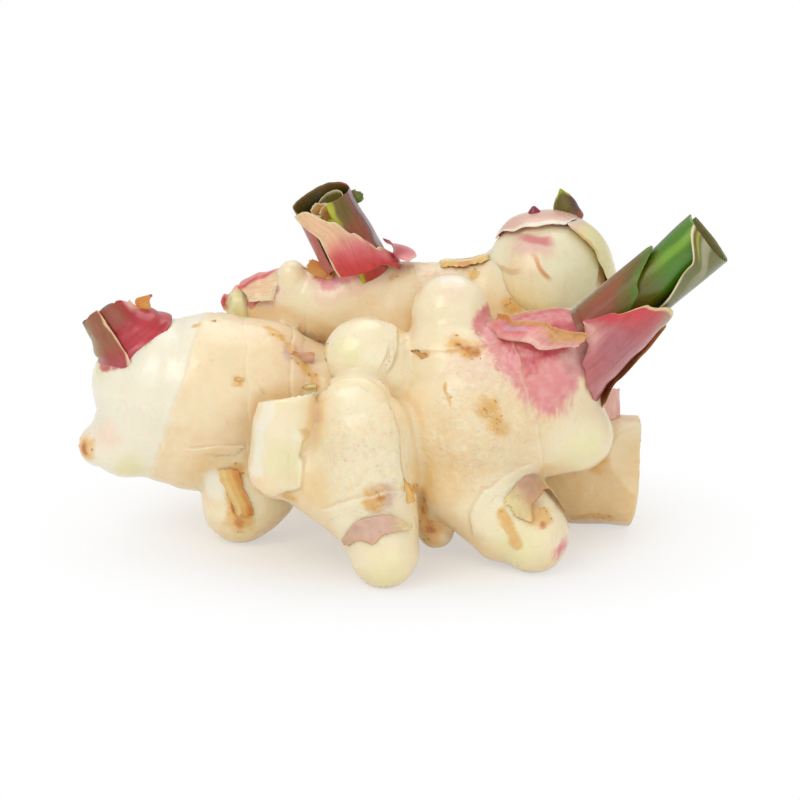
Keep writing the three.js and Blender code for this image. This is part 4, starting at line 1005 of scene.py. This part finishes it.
buildRod("left_bud_heart", "crimsonScale", leftBud, [(12, 3.6), (17, 3.6), (18, 2.4), (18.2, 0)], "crimson",
    "darkPurple")
leftSkin, leftFlare = profile((3, 12.2), (9, 8.7), (14, 6.5), (20, 5.7)), profile((3, 4.4), (10, 1.6),
        (15, 0))
leftSide = profile((10, 0), (80, 1))
buildLeaf("left_bud_crimson_scale", "crimsonScale", leftBud,
    lambda t, angle: (t, leftSkin(t) + leftFlare(t) * leftSide(angle)), (-14, 165),
    ([(0, 3.4), (0.5, 6.2), (1, 6)], [(0, 20.5), (0.35, 19.6), (0.6, 16.5), (1, 14)]), "crimson",
    [("red", lambda u, v: 0.5 * near(u, 0.3, 0.2) * over(0.5 - v, 0, 0.3)),
    ("redBrown", lambda u, v: 0.9 * over(v, 0.5, 0.75) * over(0.42 - u, 0, 0.12)),
    # the pale pink at the upper right is a painted highlight
    ("palePink", lambda u, v: 0.9 * over(v, 0.6, 0.85) * over(u, 0.4, 0.5))], inside="redBrown",
    ragged=0.25, wave=0.15, sink=0.9, across=100, along=60)
buildLeaf("left_bud_front_scale", "oliveScale", leftBud, tube((4, 12.4), (9, 9.6), (14, 7.7), (20, 6.9)),
    (-150, -1), ([(0, 8), (0.6, 6.4), (1, 3.8)], [(0, 16), (0.45, 18.4), (1, 21.4)]), "oliveTan",
    [("redBrown", lambda u, v: 0.8 * over(u, 0.6, 0.8)),
    ("mauve", lambda u, v: 0.85 * over(0.32 - v, 0, 0.2)),
    ("crimson", lambda u, v: 0.6 * over(0.5 - v, 0, 0.3) * over(u, 0.6, 0.8)),
    ("darkBrown", lambda u, v: 0.85 * over(v, 0.84, 0.94) * over(0.75 - u, 0, 0.2)),
    ("peach", lambda u, v: 0.9 * over(u, 0.965, 0.985))], inside="darkBrown", ragged=0.25, wave=0.2,
    sink=1.4, across=90, along=60)
buildLeaf("left_bud_dry_curl", "dryScale", axisFrom((-67.5, 2.5, 60.6), (-63.4, 1.5, 61.8)),
    tube((0, 2.2), (4, 2.2)), (-140, 30), (0, 4.4), "rust", [("honey", lambda u, v: over(u, 0.5, 1))],
    thick=0.6, sink=0, ragged=0.3, across=30, along=20)

topBud = axisFrom((38.6, 22, 45), (38.9, 22, 85))
budOver = axisFrom((20, 22, 62.4), (57, 22, 62.4))  # runs across the bud, for the scale over its crown
buildLeaf("top_bud_front_scale", "creamScale", topBud, dome(17.4, 17.2),
    ([(0, -55), (1, -100)], [(0, 40), (1, 75)]),
    ([(0, -5), (0.5, -26), (1, -12)], [(0, 60), (0.5, 76), (1, 66)]), "budCream",
    [("honey", lambda u, v: 0.5 * over(0.5 - v, 0, 0.3) * over(0.6 - u, 0, 0.4)),
    ("peach", lambda u, v: 0.5 * near(u, 0.35, 0.2) * near(v, 0.55, 0.25)),
    ("limeCream", lambda u, v: 0.7 * over(u, 0.75, 0.95)),
    ("palePink", lambda u, v: 0.8 * near(v, 0.72, 0.16) * near(u, 0.42, 0.25)),
    # pink skin colour with painted shadow just under the crown scale's margin
    ("deepPink", lambda u, v: 0.75 * near(v + 0.2 * u, 0.86, 0.07) * near(u, 0.45, 0.2)),
    ("rust", lambda u, v: 0.8 * near(u + 0.6 * v, 0.8, 0.03) * near(v, 0.5, 0.14)),
    ("tan", lambda u, v: 0.5 * near(v - 0.3 * u, 0.35, 0.05) * over(0.4 - u, 0, 0.1))], ragged=0.3,
    wave=0.45, across=130, along=100)
buildLeaf("top_bud_back_scale", "creamScale", topBud, dome(17.4, 17.2), (95, 240), (-22, 62), "cream",
    [("palePink", lambda u, v: 0.6 * over(v, 0.6, 0.95)),
    ("tan", lambda u, v: 0.4 * near(u, 0.5, 0.2) * over(0.4 - v, 0, 0.3))], ragged=0.4, wave=0.35)
buildLeaf("top_bud_crown_scale", "creamScale", budOver, dome(18.7, 18.8),
    (-178, [(0, -88), (0.25, -66), (0.5, -64), (0.8, -66), (1, -84)]),
    ([(0, -30), (1, -46)], [(0, 30), (1, 26)]), "palePink",
    [("cream", lambda u, v: 0.7 * near(v, 0.5, 0.16) * near(u, 0.4, 0.3)),
    ("deepPink", lambda u, v: 0.7 * near(u, 0.25, 0.14) * over(0.75 - v, 0, 0.3)),
    ("rosyTan", lambda u, v: 0.8 * over(u, 0.75, 0.85)),
    ("ivory", lambda u, v: 0.9 * over(u, 0.95, 0.985))], inside="deepPink", ragged=0.5, wave=0.3, across=90,
    along=60, thick=0.5)
buildLeaf("top_bud_right_scale", "creamScale", topBud, dome(17.4, 18.8),
    ([(0, 70), (0.6, 50), (1, 36)], 150), (-24, 66), "softYellow",
    [("limeCream", lambda u, v: 0.6 * over(0.5 - v, 0, 0.4)),
    ("tan", lambda u, v: 0.7 * over(0.06 - u, 0, 0.03) * over(v, 0.5, 0.7)),
    ("palePink", lambda u, v: 0.7 * over(v, 0.85, 0.95))], ragged=0.5, wave=0.4, across=90, along=80,
    thick=0.5)
buildLeaf("top_bud_leaf_tip", "oliveScale", axisFrom((45.2, 27, 76.5), (42.2, 25.8, 87)),
    tube((0, 4.2), (5, 3.2), (10.6, 0.95)), (-100, 110), (0, [(0, 8), (0.45, 10.6), (1, 8)]), "olive",
    [("darkPurple", lambda u, v: 0.75 * over(u, 0.5, 0.75)),
    ("redBrown", lambda u, v: 0.9 * over(0.5 - v, 0, 0.3)),
    ("yellowGreen", lambda u, v: 0.9 * over(v, 0.85, 0.97) + 0.8 * over(0.14 - u, 0, 0.08))], thick=0.6,
    ragged=0.2, across=36, along=36)
buildRod("top_bud_purple_tip", "crimsonScale", axisFrom((35.6, 22.6, 79), (35, 21.8, 83.4)),
    [(0, 1.9), (2, 1.6), (3.4, 0.5), (3.6, 0)], "plum", "plum")

finger = axisFrom((-16, 20, 57.1), (-43.6, 24, 54.6))
fingerSkin = profile((2, 11.4), (12, 9.8), (20.5, 7.6), (27.5, 5.4), (30.5, 3))
buildLeaf("finger_tip_scale", "creamScale", finger, lambda t, angle: (t, fingerSkin(t) + 0.6), (-60, 165),
    (24, [(0, 29), (0.4, 31.4), (1, 30)]), "softYellow",
    [("limeCream", lambda u, v: 0.8 * near(u, 0.3, 0.3)),
    ("crimson", lambda u, v: 0.95 * over(v, 0.72, 0.88) * over(u, 0.2, 0.4)),
    ("rosePink", lambda u, v: 0.85 * over(u, 0.5, 0.65))], inside="rosePink", ragged=0.4, across=60)
buildLeaf("finger_ridge_scale", "pinkBract", finger, lambda t, angle: (t, fingerSkin(t) + 1.3), (22, 120),
    ([(0, 16), (0.5, 13), (1, 15)], [(0, 23), (0.5, 26.5), (1, 24)]), "peach",
    [("rosePink", lambda u, v: 0.85 * over(u + 0.3 * v, 0.5, 0.8)),
    ("red", lambda u, v: 0.8 * near(u + 0.35 * v, 0.72, 0.1) * over(v, 0.15, 0.4)),
    ("cream", lambda u, v: 0.9 * over(0.25 - v, 0, 0.25) + 0.8 * over(0.14 - u, 0, 0.1))], inside="pink",
    thick=0.4, ragged=0.4, wave=0.15, sink=1.2, across=70, along=50)

buildLeaf("front_foot_torn_scale", "dryScale", axisFrom((-7, -31, 22), (-4, -38, 8.5)),
    tube((6, 11.9), (14, 10.2)), (-58, 64), ([(0, 10.4), (0.35, 7.4), (0.6, 7.2), (1, 10.4)],
    [(0, 12), (0.4, 12.6), (0.55, 14.4), (0.7, 12.8), (1, 12.4)]), "footMauve",
    [("palePink", lambda u, v: 0.4 * near(u, 0.5, 0.3)),
    ("softYellow", lambda u, v: 0.7 * over(0.3 - u, 0, 0.15)),
    ("tan", lambda u, v: 0.7 * over(v, 0.82, 0.96))], thick=0.3, ragged=0.9, wave=0.15, sink=0.4,
    across=110, along=60)
buildLeaf("right_foot_torn_scale", "dryScale", axisFrom((27, -24, 15), (33.5, -28.5, 9.4)),
    tube((-2, 13), (4, 12), (12, 10.2)), (-135, -12), ([(0, 1), (0.5, -1.5), (1, 0)],
    [(0, 6), (0.2, 10.5), (0.4, 5), (0.75, 5.5), (0.9, 9.5), (1, 6)]), "yellowCream",
    [("mauve", lambda u, v: 0.55 * near(u, 0.6, 0.3)), ("tan", lambda u, v: 0.85 * over(v, 0.8, 0.95))],
    thick=0.3, ragged=0.9, wave=0.2, sink=0.4, across=90, along=50)
buildLeaf("left_foot_dry_scale", "dryScale", axisFrom((-41.5, -5, 26), (-41.5, -8, 10)),
    tube((0, 12.2), (8, 11.2), (16, 10.8)), ([(0, -2), (1, -24)], [(0, 28), (1, 4)]), (5, 18), "honey",
    [("rust", lambda u, v: 0.7 * over(0.45 - u, 0, 0.3) + 0.5 * over(v, 0.7, 0.9)),
    ("yellowCream", lambda u, v: 0.7 * near(u, 0.75, 0.15))], thick=0.5, ragged=0.7, sink=0.3, across=50,
    along=60)
buildLeaf("ridge_dry_curl", "dryScale", axisFrom((-17.5, 15, 65.5), (-24.8, 14, 70.4)),
    tube((0, 2.6), (8, 2.6)), (-120, 40), (0, 8), "tan", [("rust", lambda u, v: 0.7 * over(u, 0.5, 0.9))],
    thick=0.5, sink=0, ragged=0.7, wave=0.4, across=40, along=36)
buildLeaf("ridge_dry_scale", "dryScale", axisFrom((8, 19, 58.8), (26, 20.5, 59)),
    tube((0, 11), (8, 9.9), (18, 11)), (-118, -66), (2, [(0, 14), (0.5, 17), (1, 15)]), "honey",
    [("rust", lambda u, v: 0.8 * near(v, 0.5, 0.2)), ("cream", lambda u, v: 0.8 * near(u, 0.5, 0.2))],
    thick=0.4, ragged=1.4, wave=0.5, across=50, along=60)
dryBits = {  # limb, share and way out to its place on the skin, then radius, length and two colours
    "left_neck_shred": ("left body's neck", 0.35, (0.1, -0.7, 1), 2, 8, "footMauve", "rust"),
    "left_neck_nub": ("left body's neck", 0.5, (0, -1, 0.5), 1.5, 4, "softYellow", "tan"),
    "knob_shred": ("upper left knob", 1, (-1, -0.2, 0.2), 1.5, 5, "softYellow", "rust"),
    "knob_side_curl": ("upper left knob", 0.1, (0.5, -1, 0.8), 1, 4.5, "tan", "darkBrown"),
    "body_top_bit": ("left body", 0.6, (0, -0.2, 1), 1, 3.5, "tan", "rust"),
    "body_front_bit": ("left body", 0.9, (0, -1, 0.5), 0.8, 3, "honey", "rust"),
    "shoulder_bit": ("front body", 1, (0.7, -0.6, 1), 0.9, 2.6, "palePink", "tan"),
    "crease_flap": ("left front foot", 0, (1, -0.7, 0.3), 1.6, 7, "honey", "rust"),
}
for name, (limb, share, facing, radius, length, colour, rimColour) in dryBits.items():
    spot = onSkin((limb, share, facing))[0]
    lying = np.cross(facing, (0, 1, 0)) / np.linalg.norm(facing) * length / 2  # it lies along the skin
    buildLeaf(name, "dryScale", axisFrom(spot - lying, spot + lying),
        tube((0, radius), (length, 0.7 * radius)), (-130, 60),
        (0, [(0, 0.8 * length), (0.5, length), (1, 0.7 * length)]), colour,
        [(rimColour, lambda u, v: 0.8 * over(v, 0.7, 1) + 0.7 * over(u, 0.75, 1))], thick=0.4, sink=0,
        ragged=0.7, wave=0.35, across=28, along=24, node=False)
buildLeaf("cut_end_pink_scale", "pinkBract", axisFrom((52.6, 8, 27.5), (54, 8, 39)),
    tube((0, 5.4), (10, 4.2)), (-30, 130), (0, [(0, 8.6), (0.5, 10.4), (1, 8)]), "palePink",
    [("rosePink", lambda u, v: 0.7 * over(u, 0.4, 0.7)), ("tan", lambda u, v: 0.8 * over(0.3 - v, 0, 0.2))],
    thick=0.5, ragged=0.7, across=36, along=36)
print("leaves built")

# flecks and crumbs over the skin
scatters = {  # pieces a square metre, mean length in metres, and the mask they follow
    "white_flecks": {"density": 300000, "length": 0.00042, "width": 0.5, "mask": "flaky", "seed": 11,
                     "slot": "root_skin", "colour": rgb(248, 234, 204), "roughness": 0.35},
    "golden_crumbs": {"density": 300000, "length": 0.0004, "width": 0.6, "mask": "gold", "seed": 23,
                      "slot": "dry_scale", "colour": rgb(222, 160, 78), "roughness": 0.5},
}


def scatterTree():
    # slivers strewn over a mesh, denser where its strewn attribute is higher
    tree = bpy.data.node_groups.new("strewnSlivers", "GeometryNodeTree")
    face = tree.interface
    face.new_socket("Skin", in_out="INPUT", socket_type="NodeSocketGeometry")
    for name, kind in (("Density", "NodeSocketFloat"), ("Length", "NodeSocketFloat"),
                       ("Width", "NodeSocketFloat"),
                       ("Seed", "NodeSocketInt"), ("Finish", "NodeSocketMaterial")):
        face.new_socket(name, in_out="INPUT", socket_type=kind)
    face.new_socket("Slivers", in_out="OUTPUT", socket_type="NodeSocketGeometry")

    def add(kind, settings=None, sockets=None):
        node = tree.nodes.new(kind)
        for name, value in (settings or {}).items():
            setattr(node, name, value)
        for name, value in (sockets or {}).items():
            if isinstance(value, bpy.types.NodeSocket):
                tree.links.new(value, node.inputs[name])
            else:
                node.inputs[name].default_value = value
        return node

    given = add("NodeGroupInput").outputs
    strewn = add("GeometryNodeInputNamedAttribute", {"data_type": "FLOAT"}, {"Name": "strewn"})
    density = add("ShaderNodeMath", {"operation": "MULTIPLY"}, {0: strewn.outputs[0], 1: given["Density"]})
    spots = add("GeometryNodeDistributePointsOnFaces", {}, {
        "Mesh": given["Skin"], "Density": density.outputs[0], "Seed": given["Seed"]})
    thin = add("ShaderNodeMath", {"operation": "MULTIPLY"}, {0: given["Length"], 1: given["Width"]})
    flat = add("ShaderNodeMath", {"operation": "MULTIPLY"}, {0: thin.outputs[0], 1: 0.6})
    size = add("ShaderNodeCombineXYZ", {}, {
        "X": given["Length"], "Y": thin.outputs[0], "Z": flat.outputs[0]})
    pebble = add("GeometryNodeMeshIcoSphere", {}, {"Radius": 1.0, "Subdivisions": 2})
    sliver = add("GeometryNodeTransform", {}, {"Geometry": pebble.outputs[0], "Scale": size.outputs[0]})
    spin = add("FunctionNodeRandomValue", {"data_type": "FLOAT_VECTOR"}, {
        "Min": (-0.2, -0.2, 0), "Max": (0.2, 0.2, 6.28), "Seed": given["Seed"]})
    turned = add("FunctionNodeRotateRotation", {"rotation_space": "LOCAL"}, {
        "Rotation": spots.outputs["Rotation"], "Rotate By": spin.outputs[0]})
    grow = add("FunctionNodeRandomValue", {"data_type": "FLOAT_VECTOR"}, {
        "Min": (0.35, 0.6, 0.6), "Max": (1.4, 1.3, 1.2), "Seed": given["Seed"]})
    strewing = add("GeometryNodeInstanceOnPoints", {}, {
        "Points": spots.outputs["Points"], "Instance": sliver.outputs[0], "Rotation": turned.outputs[0],
        "Scale": grow.outputs[0]})
    real = add("GeometryNodeRealizeInstances", {}, {"Geometry": strewing.outputs[0]})
    finished = add("GeometryNodeSetMaterial", {}, {
        "Geometry": real.outputs[0], "Material": given["Finish"]})
    add("NodeGroupOutput", {}, {"Slivers": finished.outputs[0]})
    return tree


def sliverFinish(name, look):
    f = Finish(name)
    patches = f.noise(f.place(), 900, 3)
    colour = f.mix(patches.band(0.35, 0.65) * 0.5, look["colour"],
                   f.mix(1.0, look["colour"], (0.8, 0.66, 0.46), "MULTIPLY"))
    return f.surface(f.add("ShaderNodeBsdfPrincipled", {}, {
        "Base Color": colour, "Roughness": (look["roughness"] + (patches - 0.5) * 0.2).clipped(),
        "Subsurface Weight": 0.4, "Subsurface Radius": (1.0, 0.62, 0.36), "Subsurface Scale": 0.001,
        "Coat Weight": 0.3, "Normal": f.bump(patches, 0.0001, 0.5)}))


strewnSlivers = scatterTree()
sockets = {item.name: item.identifier for item in strewnSlivers.interface.items_tree
           if item.in_out == "INPUT"}
for name, look in scatters.items():
    mesh = bpy.data.meshes.new(name + "_bed")
    mesh.from_pydata((rootPoints + shift) / 1000, [], [list(map(int, face)) for face in rootFaces])
    strewn = np.clip(paintMask[look["mask"]] * 1.6 - 0.35, 0, 1) * np.clip(0.5 + wobble(rootPoints, 3, 60),
            0, 1)
    mesh.attributes.new("strewn", "FLOAT", "POINT").data.foreach_set("value", strewn.astype(np.float32))
    bed = bpy.data.objects.new(name + "_bed", mesh)
    bpy.context.scene.collection.objects.link(bed)
    finish = sliverFinish(name, look)
    modifier = bed.modifiers.new("strewing", "NODES")
    modifier.node_group = strewnSlivers
    for socket, value in (("Density", look["density"]), ("Length", look["length"]),
            ("Width", look["width"]),
                          ("Seed", look["seed"]), ("Finish", finish)):
        modifier[sockets[socket]] = value
    evaluated = bed.evaluated_get(bpy.context.evaluated_depsgraph_get())
    slivers = bpy.data.objects.new(name, bpy.data.meshes.new_from_object(evaluated))
    slivers.data.name = name
    bed.modifiers.remove(modifier)
    bpy.data.objects.remove(bed)
    bpy.context.scene.collection.objects.link(slivers)
    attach(slivers, "root")
    print(name, len(slivers.data.polygons), "faces")
# the stage
stage = {
    "target": (0, 0, 36), "elevation": 18, "distance": 600, "lens": 103.8,  # in millimetres and degrees
    "floorReach": 3, "paintedFloorGlow": (0.92, 0.8, 0.56), "floorFar": (0.9, 0.885, 0.88),
    "shadeOval": (9.5, 13.5, 0), "nearBand": (0.25, 0.7),
    "whiteBeyond": (0.4, 1.0), "whiteBase": 0.5,  # the floor whitens away from the part
    "softColour": (1, 0.98, 0.94), "softLight": 0.64, "lampTarget": (0, 0, 0.03),
}


def lookAt(thing, target):
    thing.rotation_euler = (Vector(target) - thing.location).to_track_quat("-Z", "Y").to_euler()


target = Vector((np.array(stage["target"]) + shift) / 1000)
up = math.radians(stage["elevation"])
camera = bpy.data.objects.new("camera", bpy.data.cameras.new("camera"))
camera.location = target + Vector((0, -math.cos(up), math.sin(up))) * stage["distance"] / 1000
camera.data.lens, camera.data.sensor_width = stage["lens"], 36
camera.data.clip_end = 20
lookAt(camera, target)
bpy.context.scene.collection.objects.link(camera)
bpy.context.scene.camera = camera

floorMesh = bpy.data.meshes.new("floor")
corners = ((-1, -1), (1, -1), (1, 1), (-1, 1))
floorMesh.from_pydata([(x * stage["floorReach"], y * stage["floorReach"], 0) for x, y in corners], [],
                      [(0, 1, 2, 3)])
floor = bpy.data.objects.new("floor", floorMesh)
bpy.context.scene.collection.objects.link(floor)
f = Finish("paleFloor")
spot = f.place()
oval = f.add("ShaderNodeVectorMath", {"operation": "MULTIPLY"}, [spot, stage["shadeOval"]])
away = f.add("ShaderNodeVectorMath", {"operation": "LENGTH"}, [oval], out=1)
light = [f.add("ShaderNodeLightPath", out=k) for k in (0, 3, 6)]  # camera, glossy and transmission rays
seen = light[0].most(light[1]).most(light[2])
# painted warm glow: near the part the floor's colour turns warm, standing in for light that comes through the
# flesh
tinted = f.mix(away.band(*stage["nearBand"]), stage["paintedFloorGlow"], stage["floorFar"])
matt = f.add("ShaderNodeBsdfDiffuse", {}, {"Color": tinted})
white = f.add("ShaderNodeEmission", {}, {"Color": (1.0, 1.0, 1.0), "Strength": 1.0})
whiteness = (away.band(*stage["whiteBeyond"]) * (1 - stage["whiteBase"]) + stage["whiteBase"]) * seen
floorMesh.materials.append(f.surface(f.add("ShaderNodeMixShader", {}, [whiteness, matt, white])))

world = bpy.data.worlds.new("studio")
bpy.context.scene.world = world
f = Finish("studio", world)
seenStraight = f.add("ShaderNodeLightPath")
soft = f.add("ShaderNodeBackground", {}, [stage["softColour"], stage["softLight"]])
plain = f.add("ShaderNodeBackground", {}, [(1, 1, 1), 1.0])
f.add("ShaderNodeOutputWorld", {}, [f.add("ShaderNodeMixShader", {}, [seenStraight, soft, plain])])

lamps = {  # place, size in metres, watts and colour
    "key lamp": ((-0.45, -0.5, 0.75), 0.5, 2.3, (1, 0.985, 0.96)),
    "front lamp": ((0.4, -0.8, 0.3), 0.8, 1.4, (1, 0.985, 0.96)),
    "back lamp": ((0.05, 0.45, 0.85), 0.7, 2.2, (1, 0.99, 0.97)),
}
for name, (place, size, watts, colour) in lamps.items():
    data = bpy.data.lights.new(name, "AREA")
    data.size, data.energy, data.color = size, watts, colour
    lamp = bpy.data.objects.new(name, data)
    lamp.location = place
    lookAt(lamp, stage["lampTarget"])
    bpy.context.scene.collection.objects.link(lamp)

bpy.context.scene.view_settings.view_transform = "Standard"
print("stage set")
